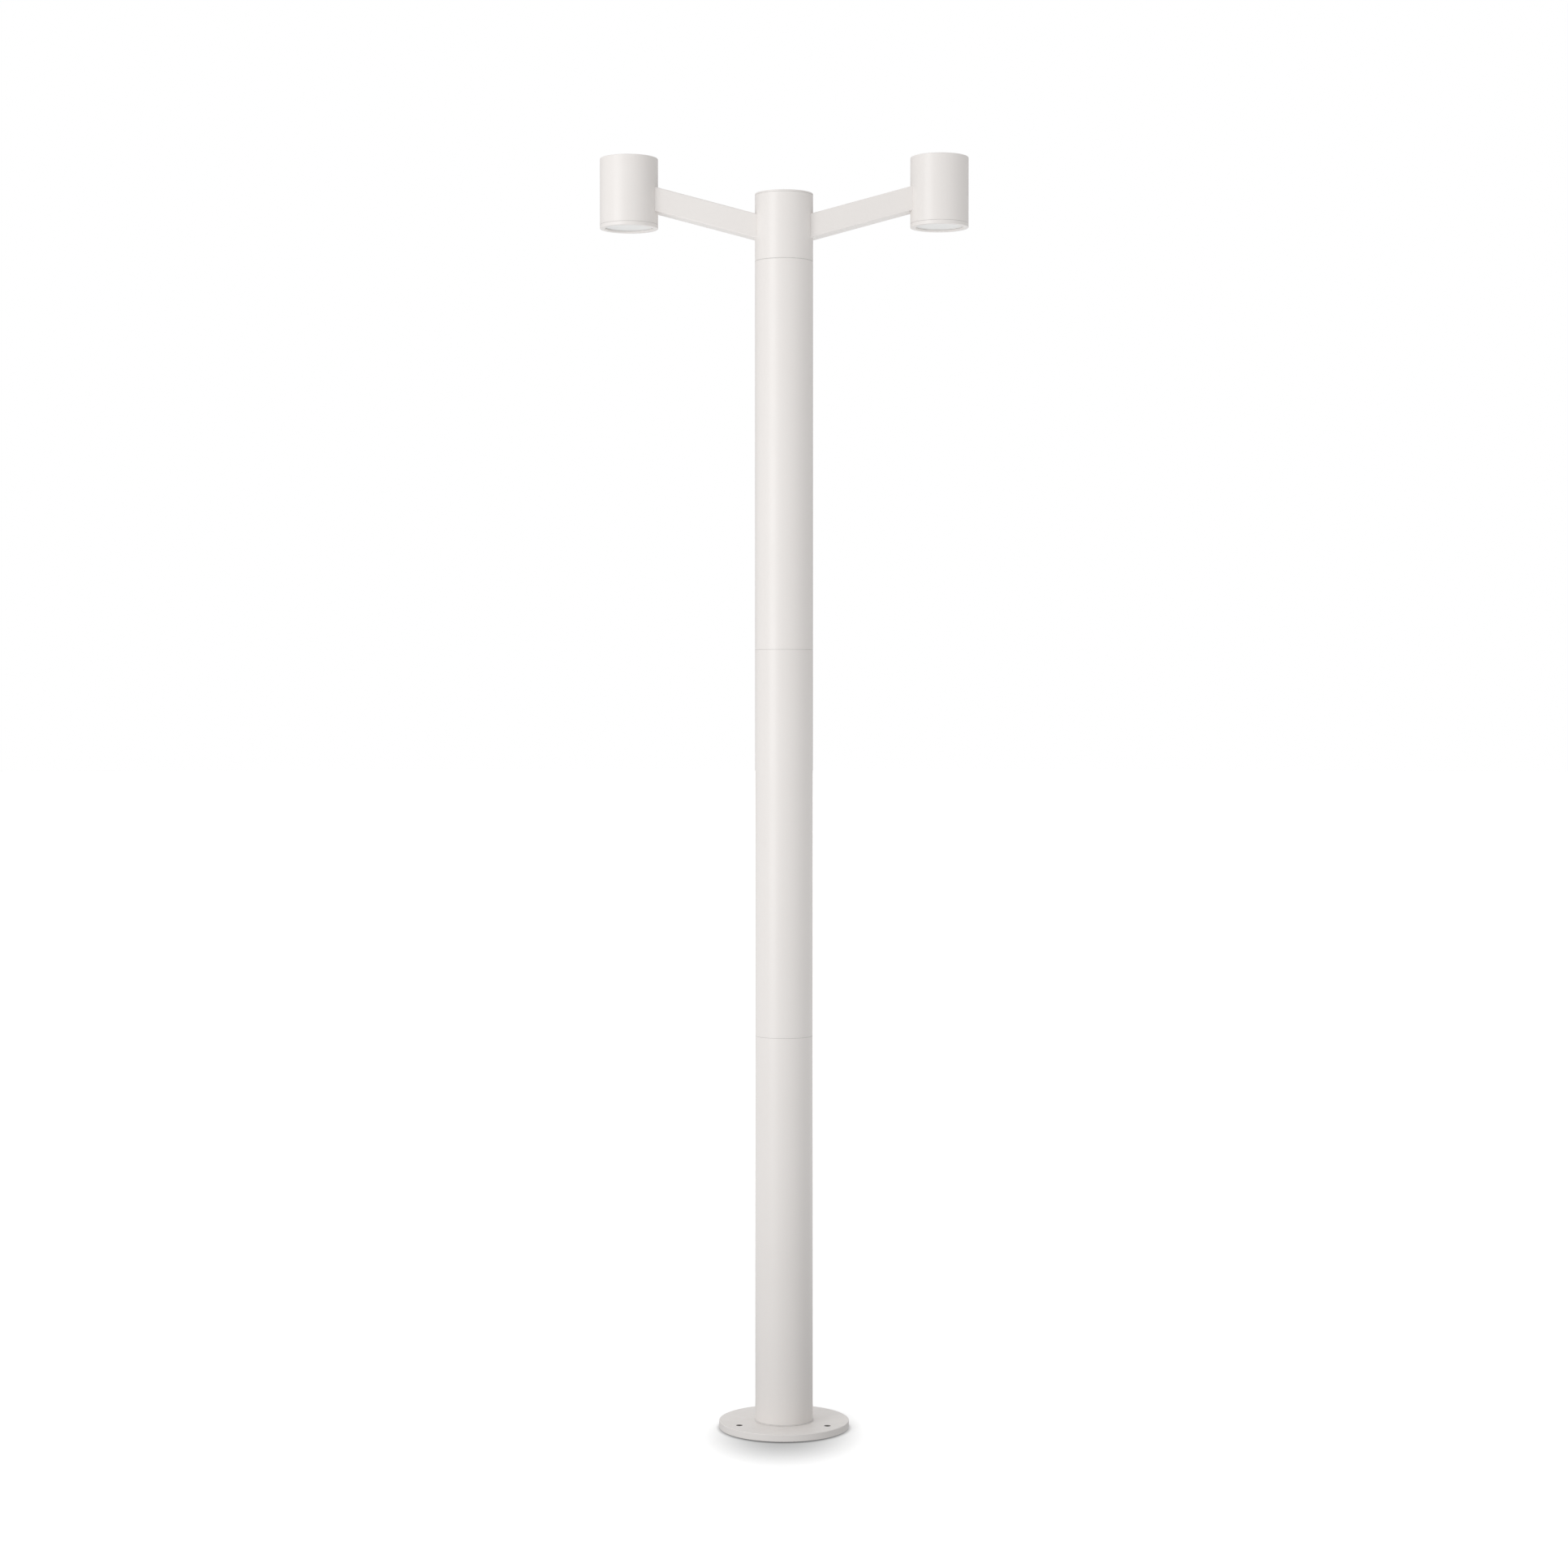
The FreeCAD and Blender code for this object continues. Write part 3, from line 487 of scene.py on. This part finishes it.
def ringPath(tree, sides, radius):
    inputs = {"Resolution": sides, "Radius": radius}
    return addNode(tree, "GeometryNodeCurvePrimitiveCircle", inputs, mode="RADIUS").outputs[0]


def turnedShape(tree, corners, sides):
    # corners: (radius, height) from top to bottom, turned about the vertical and closed at both ends
    line = addNode(tree, "GeometryNodeCurvePrimitiveLine", {"End": (0.0, 0.0, -1.0)}, mode="POINTS")
    inputs = {"Curve": line.outputs[0], "Count": len(corners)}
    steps = addNode(tree, "GeometryNodeResampleCurve", inputs, mode="COUNT").outputs[0]
    place = joinAxes(tree, Z=choice(tree, [corner[1] for corner in corners]))
    moved = addNode(tree, "GeometryNodeSetPosition", {"Geometry": steps, "Position": place}).outputs[0]
    radius = choice(tree, [corner[0] for corner in corners])
    circle = ringPath(tree, sides, radius=1.0)
    inputs = {"Curve": moved, "Profile Curve": circle, "Scale": radius, "Fill Caps": True}
    return addNode(tree, "GeometryNodeCurveToMesh", inputs).outputs[0]


def finishTree(tree, given, result, geometry):
    real = addNode(tree, "GeometryNodeRealizeInstances", {"Geometry": geometry}).outputs[0]
    inputs = {"Geometry": real, "Material": given["Material"]}
    coloured = addNode(tree, "GeometryNodeSetMaterial", inputs).outputs[0]
    tree.links.new(coloured, result.inputs["Geometry"])


def bake(name, tree, mesh, material, sizes, body, replaced):
    # runs the tree on the mesh, keeps the plain result, hangs it on its body and hides the CAD nodes that it
    # stands for
    source = bpy.data.objects.new(name + "Source", mesh)
    bpy.context.scene.collection.objects.link(source)
    modifier = source.modifiers.new(name, "NODES")
    modifier.node_group = tree
    for item in tree.interface.items_tree:
        if item.item_type == "SOCKET" and item.in_out == "INPUT":
            if item.name in sizes:
                modifier[item.identifier] = sizes[item.name]
            elif item.name == "Material":
                modifier[item.identifier] = material
    bpy.context.view_layer.update()
    evaluated = source.evaluated_get(bpy.context.evaluated_depsgraph_get())
    plain = bpy.data.meshes.new_from_object(evaluated)
    plain.name = name
    source.modifiers.remove(modifier)
    bpy.data.objects.remove(source)
    piece = bpy.data.objects.new(name, plain)
    bpy.context.scene.collection.objects.link(piece)
    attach(piece, body)
    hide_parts(*replaced)
    print("baked", name, len(plain.polygons), "faces")


# screws

def buildScrewTree():
    sizes = {"Head Diameter": 0.009, "Head Height": 0.0006, "Cone Height": 0.002, "Shank Diameter": 0.005,
             "Length": 0.008, "Edge Round": 0.0003, "Socket Width": 0.003, "Socket Depth": 0.0018}
    tree, given, result = startTree("socketScrew", sizes, onPoints=True)
    headRadius = mathNode(tree, "MULTIPLY", given["Head Diameter"], 0.5)
    shankRadius = mathNode(tree, "MULTIPLY", given["Shank Diameter"], 0.5)
    roundTop = mathNode(tree, "SUBTRACT", headRadius, given["Edge Round"])
    tipRadius = mathNode(tree, "SUBTRACT", shankRadius, given["Edge Round"])
    roundLow = mathNode(tree, "MULTIPLY", given["Edge Round"], -1.0)
    headLow = mathNode(tree, "MULTIPLY", given["Head Height"], -1.0)
    coneLow = mathNode(tree, "SUBTRACT", headLow, given["Cone Height"])
    tipLow = mathNode(tree, "MULTIPLY", given["Length"], -1.0)
    tipHigh = mathNode(tree, "ADD", tipLow, given["Edge Round"])
    corners = [(roundTop, 0.0), (headRadius, roundLow), (headRadius, headLow), (shankRadius, coneLow),
               (shankRadius, tipHigh), (tipRadius, tipLow)]
    body = turnedShape(tree, corners, sides=36)

    # the hexagonal socket, cut with its middle at the top face
    cornerRadius = mathNode(tree, "DIVIDE", given["Socket Width"], math.sqrt(3.0))
    depth = mathNode(tree, "MULTIPLY", given["Socket Depth"], 2.0)
    inputs = {"Vertices": 6, "Radius": cornerRadius, "Depth": depth}
    socket = addNode(tree, "GeometryNodeMeshCylinder", inputs, fill_type="NGON").outputs["Mesh"]
    inputs = {"Mesh 1": body, "Mesh 2": socket}
    cut = addNode(tree, "GeometryNodeMeshBoolean", inputs, operation="DIFFERENCE", solver="EXACT")
    screw = crispEdges(tree, cut.outputs["Mesh"])

    # each copy faces its aim and is turned at random about it
    aim = addNode(tree, "GeometryNodeInputNamedAttribute", {"Name": "aim"}, data_type="FLOAT_VECTOR")
    inputs = {"Vector": aim.outputs[0]}
    facing = addNode(tree, "FunctionNodeAlignRotationToVector", inputs, axis="Z").outputs[0]
    inputs = {"Seed": given["Seed"], 2: 0.0, 3: 2 * math.pi}
    turn = addNode(tree, "FunctionNodeRandomValue", inputs, data_type="FLOAT").outputs[1]
    inputs = {"Axis": (0.0, 0.0, 1.0), "Angle": turn}
    spin = addNode(tree, "FunctionNodeAxisAngleToRotation", inputs).outputs[0]
    inputs = {"Rotation": facing, "Rotate By": spin}
    rotation = addNode(tree, "FunctionNodeRotateRotation", inputs, rotation_space="LOCAL").outputs[0]
    inputs = {"Points": given["Geometry"], "Instance": screw, "Rotation": rotation}
    placed = addNode(tree, "GeometryNodeInstanceOnPoints", inputs).outputs[0]
    finishTree(tree, given, result, placed)
    return tree


def islands(node):
    # the separate solids of a CAD node, as lists of points
    shape = bmesh.new()
    shape.from_mesh(cadNodes[node].data)
    bmesh.ops.remove_doubles(shape, verts=shape.verts, dist=0.000001)
    left = set(shape.verts)
    found = []
    while left:
        stack = [left.pop()]
        group = []
        while stack:
            vertex = stack.pop()
            group.append(vertex.co.copy())
            for edge in vertex.link_edges:
                other = edge.other_vert(vertex)
                if other in left:
                    left.remove(other)
                    stack.append(other)
        found.append(group)
    shape.free()
    return found


def middle(points):
    low = Vector([min(point[axis] for point in points) for axis in range(3)])
    high = Vector([max(point[axis] for point in points) for axis in range(3)])
    return (low + high) / 2


# where a screw's head looks, from the middle of the screw

def outward(centre):
    return Vector((centre.x, centre.y, 0.0)).normalized()


def downward(centre):
    return Vector((0.0, 0.0, -1.0))


def upward(centre):
    return Vector((0.0, 0.0, 1.0))


def intoBore(centre):
    # the arms' screws look from the ends of the arms to the hub's axis or the head's axis
    side = math.copysign(1.0, centre.x)
    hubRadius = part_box("hub_tube")[1].x
    inHub = abs(centre.x) < 1.5 * hubRadius  # the heads' screws are far beyond this
    return Vector((-side if inHub else side, 0.0, 0.0))


def screwPoints(name, node, aimRule):
    places = []
    aims = []
    for points in islands(node):
        centre = middle(points)
        aim = aimRule(centre)
        top = max(point.dot(aim) for point in points)
        places.append(centre + aim * (top - centre.dot(aim)))
        aims.append(aim)
    # sorted, so that each run gives the copies the same random turns
    order = sorted(range(len(places)), key=lambda number: tuple(round(value, 5) for value in places[number]))
    mesh = bpy.data.meshes.new(name + "Points")
    mesh.from_pydata([places[number] for number in order], [], [])
    attribute = mesh.attributes.new("aim", "FLOAT_VECTOR", "POINT")
    for slot, number in enumerate(order):
        attribute.data[slot].vector = aims[number]
    return mesh


screws = {
    "poleScrews": {"node": "pole_screws", "body": "post", "aim": outward,
                   "Head Diameter": 0.009, "Head Height": 0.00035, "Cone Height": 0.002,
                   "Shank Diameter": 0.005, "Length": 0.008, "Edge Round": 0.0003,
                   "Socket Width": 0.003, "Socket Depth": 0.0018, "Seed": 3},
    "footScrews": {"node": "foot_screws", "body": "post", "aim": downward,
                   "Head Diameter": 0.0116, "Head Height": 0.00035, "Cone Height": 0.0028,
                   "Shank Diameter": 0.006, "Length": 0.025, "Edge Round": 0.0003,
                   "Socket Width": 0.004, "Socket Depth": 0.0024, "Seed": 5},
    "terminalScrews": {"node": "terminal_screws", "body": "post", "aim": upward,
                       "Head Diameter": 0.0055, "Head Height": 0.002, "Cone Height": 0.00001,
                       "Shank Diameter": 0.003, "Length": 0.0148, "Edge Round": 0.0004,
                       "Socket Width": 0.002, "Socket Depth": 0.0012, "Seed": 7},
    "grubScrews": {"node": "hub_grub_screws", "body": "crosshead", "aim": outward,
                   "Head Diameter": 0.006, "Head Height": 0.001, "Cone Height": 0.0001,
                   "Shank Diameter": 0.006, "Length": 0.006, "Edge Round": 0.0003,
                   "Socket Width": 0.003, "Socket Depth": 0.0024, "Seed": 9},
    "capScrew": {"node": "hub_cap_screw", "body": "crosshead", "aim": outward,
                 "Head Diameter": 0.009, "Head Height": 0.00035, "Cone Height": 0.002,
                 "Shank Diameter": 0.005, "Length": 0.007, "Edge Round": 0.0003,
                 "Socket Width": 0.003, "Socket Depth": 0.0018, "Seed": 11},
    "armScrews": {"node": "arm_screws", "body": "crosshead", "aim": intoBore,
                  "Head Diameter": 0.009, "Head Height": 0.003, "Cone Height": 0.00001,
                  "Shank Diameter": 0.005, "Length": 0.013, "Edge Round": 0.0006,
                  "Socket Width": 0.003, "Socket Depth": 0.0018, "Seed": 13},
    "bracketScrews": {"node": "bracket_screws", "body": "crosshead", "aim": downward,
                      "Head Diameter": 0.007, "Head Height": 0.0024, "Cone Height": 0.00001,
                      "Shank Diameter": 0.004, "Length": 0.0087, "Edge Round": 0.0005,
                      "Socket Width": 0.0025, "Socket Depth": 0.0015, "Seed": 15},
    "holderScrews": {"node": "holder_screws", "body": "crosshead", "aim": upward,
                     "Head Diameter": 0.0055, "Head Height": 0.002, "Cone Height": 0.00001,
                     "Shank Diameter": 0.003, "Length": 0.0083, "Edge Round": 0.0004,
                     "Socket Width": 0.002, "Socket Depth": 0.0012, "Seed": 17},
    "reflectorScrews": {"node": "reflector_screws", "body": "crosshead", "aim": downward,
                        "Head Diameter": 0.0055, "Head Height": 0.002, "Cone Height": 0.00001,
                        "Shank Diameter": 0.003, "Length": 0.0067, "Edge Round": 0.0004,
                        "Socket Width": 0.002, "Socket Depth": 0.0012, "Seed": 19},
}

screwTree = buildScrewTree()
for name, sizes in screws.items():
    points = screwPoints(name, sizes["node"], sizes["aim"])
    finish = finishBySlot["screw_steel"]
    bake(name, screwTree, points, finish, sizes, sizes["body"], [sizes["node"]])
print("screws placed")


# seals, gaskets and the washer

def buildSealTree():
    sizes = {"Outer Radius": 0.05, "Wall": 0.003, "Height": 0.0015, "Edge Round": 0.0004,
             "Centre Height": 0.0, "Reach": 0.0}
    tree, given, result = startTree("sealRing", sizes)
    halfWall = mathNode(tree, "MULTIPLY", given["Wall"], 0.5)
    pathRadius = mathNode(tree, "SUBTRACT", given["Outer Radius"], halfWall)
    path = ringPath(tree, sides=128, radius=pathRadius)
    upright = addNode(tree, "GeometryNodeSetCurveNormal", {"Curve": path}, mode="Z_UP").outputs[0]
    inputs = {"Width": given["Wall"], "Height": given["Height"]}
    section = addNode(tree, "GeometryNodeCurvePrimitiveQuadrilateral", inputs, mode="RECTANGLE").outputs[0]
    inputs = {"Curve": section, "Count": 4, "Radius": given["Edge Round"], "Limit Radius": True}
    rounded = addNode(tree, "GeometryNodeFilletCurve", inputs, mode="POLY").outputs[0]
    ring = addNode(tree, "GeometryNodeCurveToMesh", {"Curve": upright, "Profile Curve": rounded}).outputs[0]
    shift = joinAxes(tree, X=given["Reach"], Z=given["Centre Height"])
    moved = addNode(tree, "GeometryNodeTransform", {"Geometry": ring, "Translation": shift}).outputs[0]
    finishTree(tree, given, result, crispEdges(tree, moved, degrees=50.0))
    return tree


seals = {
    "footSeal": {"node": "foot_seal", "body": "post", "slot": "seal_rubber",
                 "Wall": 0.0045, "Edge Round": 0.0006},
    "hubWasher": {"node": "hub_washer", "body": "post", "slot": "nylon",
                  "Wall": 0.0027, "Edge Round": 0.0001},
    "capSeal": {"node": "hub_cap_seal", "body": "crosshead", "slot": "seal_rubber",
                "Wall": 0.0018, "Edge Round": 0.00085},
    "lensGasketLeft": {"node": "lens_gasket_left", "body": "left_ring", "slot": "seal_rubber",
                       "Wall": 0.0023, "Edge Round": 0.0003},
    "lensGasketRight": {"node": "lens_gasket_right", "body": "right_ring", "slot": "seal_rubber",
                        "Wall": 0.0023, "Edge Round": 0.0003},
    "ringSealLeft": {"node": "ring_seal_left", "body": "left_ring", "slot": "seal_rubber",
                     "Wall": 0.0017, "Edge Round": 0.0003},
    "ringSealRight": {"node": "ring_seal_right", "body": "right_ring", "slot": "seal_rubber",
                      "Wall": 0.0017, "Edge Round": 0.0003},
}
paleSeals = ("footSeal", "lensGasketLeft", "lensGasketRight")

paleRubber = moulded("paleSealRubber")
sealTree = buildSealTree()
for name, sizes in seals.items():
    low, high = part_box(sizes["node"])
    fitted = {  # what the seat of each ring sets
        "Outer Radius": (high.x - low.x) / 2,
        "Height": high.z - low.z,
        "Centre Height": (high.z + low.z) / 2,
        "Reach": (high.x + low.x) / 2,
    }
    finish = paleRubber if name in paleSeals else finishBySlot[sizes["slot"]]
    empty = bpy.data.meshes.new(name + "Start")
    bake(name, sealTree, empty, finish, {**sizes, **fitted}, sizes["body"], [sizes["node"]])
print("seals placed")


# floor, light and camera

studio = {
    "floorRadius": 60.0,
    "floorWhite": 0.9,
    "nearGlow": 0.42,
    "farGlow": 0.8,
    "glowStart": 0.5,
    "glowReach": 6.0,
    "nearBounce": 0.5,
    "farBounce": 0.93,
    "nearRadius": 0.3,
    "farRadius": 2.0,
    "shadowCentre": (0.0, -0.06, 0.0),
    "shadowScale": (1.0, 0.62, 1.0),
    "shadowInner": 0.01,
    "shadowOuter": 0.19,
    "shadowDepth": 0.6,
    "contactCentre": (0.0, -0.008, 0.0),
    "contactInner": 0.104,
    "contactOuter": 0.12,
    "contactShade": 0.25,
    "brightSky": 0.67,
    "dimSky": 0.17,
    "glowFrom": (0.0, 0.56, 0.83),
    "glowEdge": 0.4,
    "glowAbove": 0.82,
    "skyTurn": 10.0,
    "backdrop": 1.0,
    "keyPower": 92.0,
    "keyWidth": 2.4,
    "keyHeight": 3.6,
    "keyPlace": (-3.6, -3.8, 1.9),
    "keyAim": (0.0, 0.0, 1.35),
}


def distanceFrom(tree, place, centre, scale=(1.0, 1.0, 1.0)):
    shifted = vectorMath(tree, "SUBTRACT", place, centre)[0]
    return vectorMath(tree, "LENGTH", vectorMath(tree, "MULTIPLY", shifted, scale)[0])["Value"]


def footShade(tree, place):
    # a painted soft shadow round the foot and a painted dark contact shadow where the plate meets the floor,
    # as a factor under 1
    reach = distanceFrom(tree, place, studio["shadowCentre"], studio["shadowScale"])
    soft = remap(tree, reach, studio["shadowInner"], studio["shadowOuter"], 1.0 - studio["shadowDepth"], 1.0)
    edge = distanceFrom(tree, place, studio["contactCentre"])
    contactShadow = remap(tree, edge, studio["contactInner"], studio["contactOuter"], studio["contactShade"], 1.0)
    return mathNode(tree, "MULTIPLY", soft, contactShadow)


def buildFloor():
    mesh = bpy.data.meshes.new("studioFloor")
    shape = bmesh.new()
    bmesh.ops.create_circle(shape, cap_ends=True, segments=96, radius=studio["floorRadius"])
    shape.to_mesh(mesh)
    shape.free()
    floor = bpy.data.objects.new("studioFloor", mesh)
    bpy.context.scene.collection.objects.link(floor)
    material = bpy.data.materials.new("paleFloor")
    material.use_nodes = True
    tree = material.node_tree
    tree.nodes.remove(tree.nodes["Principled BSDF"])
    place = objectPoint(tree)
    spread = vectorMath(tree, "LENGTH", place)["Value"]

    # the light that it throws up on the object, less near the foot
    near, far = studio["nearRadius"], studio["farRadius"]
    bounce = remap(tree, spread, near, far, studio["nearBounce"], studio["farBounce"])
    unseen = addNode(tree, "ShaderNodeEmission", {"Strength": bounce}).outputs[0]

    # what the camera sees of it: white with the shade round the foot, and nothing at all from below
    clear = footShade(tree, place)
    white = mathNode(tree, "MULTIPLY", clear, studio["floorWhite"])
    lit = addNode(tree, "ShaderNodeBsdfDiffuse", {"Color": white}).outputs[0]
    near, far = studio["glowStart"], studio["glowReach"]
    level = remap(tree, spread, near, far, studio["nearGlow"], studio["farGlow"])
    shine = mathNode(tree, "MULTIPLY", clear, level)
    glow = addNode(tree, "ShaderNodeEmission", {"Strength": shine}).outputs[0]
    above = addNode(tree, "ShaderNodeAddShader", {0: lit, 1: glow}).outputs[0]
    below = addNode(tree, "ShaderNodeBsdfTransparent").outputs[0]
    fromBelow = addNode(tree, "ShaderNodeNewGeometry").outputs["Backfacing"]
    seen = addNode(tree, "ShaderNodeMixShader", {0: fromBelow, 1: above, 2: below}).outputs[0]
    cameraRay = addNode(tree, "ShaderNodeLightPath").outputs["Is Camera Ray"]
    mix = addNode(tree, "ShaderNodeMixShader", {0: cameraRay, 1: unseen, 2: seen}).outputs[0]
    tree.links.new(mix, tree.nodes["Material Output"].inputs["Surface"])
    mesh.materials.append(material)
    floor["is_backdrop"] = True


def buildWorld():
    # brighter on the camera's side, with a glow above and behind that lights what faces up
    world = bpy.data.worlds.new("studioWorld")
    world.use_nodes = True
    tree = world.node_tree
    direction = addNode(tree, "ShaderNodeTexCoord").outputs["Generated"]
    turn = math.radians(studio["skyTurn"])
    towards = (-math.sin(turn), -math.cos(turn), 0.0)
    facing = vectorMath(tree, "DOT_PRODUCT", direction, towards)["Value"]
    inputs = {"Value": facing, "From Min": -1.0, "From Max": 1.0, "To Min": studio["dimSky"],
              "To Max": studio["brightSky"]}
    around = addNode(tree, "ShaderNodeMapRange", inputs).outputs["Result"]
    lift = vectorMath(tree, "DOT_PRODUCT", direction, studio["glowFrom"])["Value"]
    overhead = remap(tree, lift, studio["glowEdge"], 1.0, 0.0, studio["glowAbove"])
    white = (1.0, 1.0, 1.0, 1.0)
    inputs = {"Color": white, "Strength": mathNode(tree, "ADD", around, overhead)}
    room = addNode(tree, "ShaderNodeBackground", inputs).outputs[0]
    inputs = {"Color": white, "Strength": studio["backdrop"]}
    seen = addNode(tree, "ShaderNodeBackground", inputs).outputs[0]
    cameraRay = addNode(tree, "ShaderNodeLightPath").outputs["Is Camera Ray"]
    mix = addNode(tree, "ShaderNodeMixShader", {0: cameraRay, 1: room, 2: seen}).outputs[0]
    tree.links.new(mix, tree.nodes["World Output"].inputs["Surface"])
    bpy.context.scene.world = world


def aimAt(thing, place, target):
    thing.location = Vector(place)
    thing.rotation_euler = (Vector(target) - Vector(place)).to_track_quat("-Z", "Y").to_euler()


def buildKey():
    light = bpy.data.lights.new("keyLight", "AREA")
    light.energy = studio["keyPower"]
    light.shape = "RECTANGLE"
    light.size = studio["keyWidth"]
    light.size_y = studio["keyHeight"]
    key = bpy.data.objects.new("keyLight", light)
    bpy.context.scene.collection.objects.link(key)
    aimAt(key, studio["keyPlace"], studio["keyAim"])


cameraSetup = {
    "distance": 5.175,
    "height": 1.237,
    "azimuth": 1.36,
    "tilt": 1.345,
    "lens": 68.8,
    "sensor": 36.0,
}


def buildCamera():
    turn = math.radians(cameraSetup["azimuth"])
    tilt = math.radians(cameraSetup["tilt"])
    data = bpy.data.cameras.new("camera")
    data.lens = cameraSetup["lens"]
    data.sensor_width = cameraSetup["sensor"]
    camera = bpy.data.objects.new("camera", data)
    bpy.context.scene.collection.objects.link(camera)
    reach = cameraSetup["distance"]
    camera.location = (math.sin(turn) * reach, -math.cos(turn) * reach, cameraSetup["height"])
    camera.rotation_euler = (math.pi / 2 - tilt, 0.0, turn)
    bpy.context.scene.camera = camera


buildFloor()
buildWorld()
buildKey()
buildCamera()
bpy.context.scene.view_settings.view_transform = "Standard"
print("stage, light and camera set")

visualLow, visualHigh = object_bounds()
sizes = {"cad": [list(cadLow), list(cadHigh)], "visual": [list(visualLow), list(visualHigh)]}
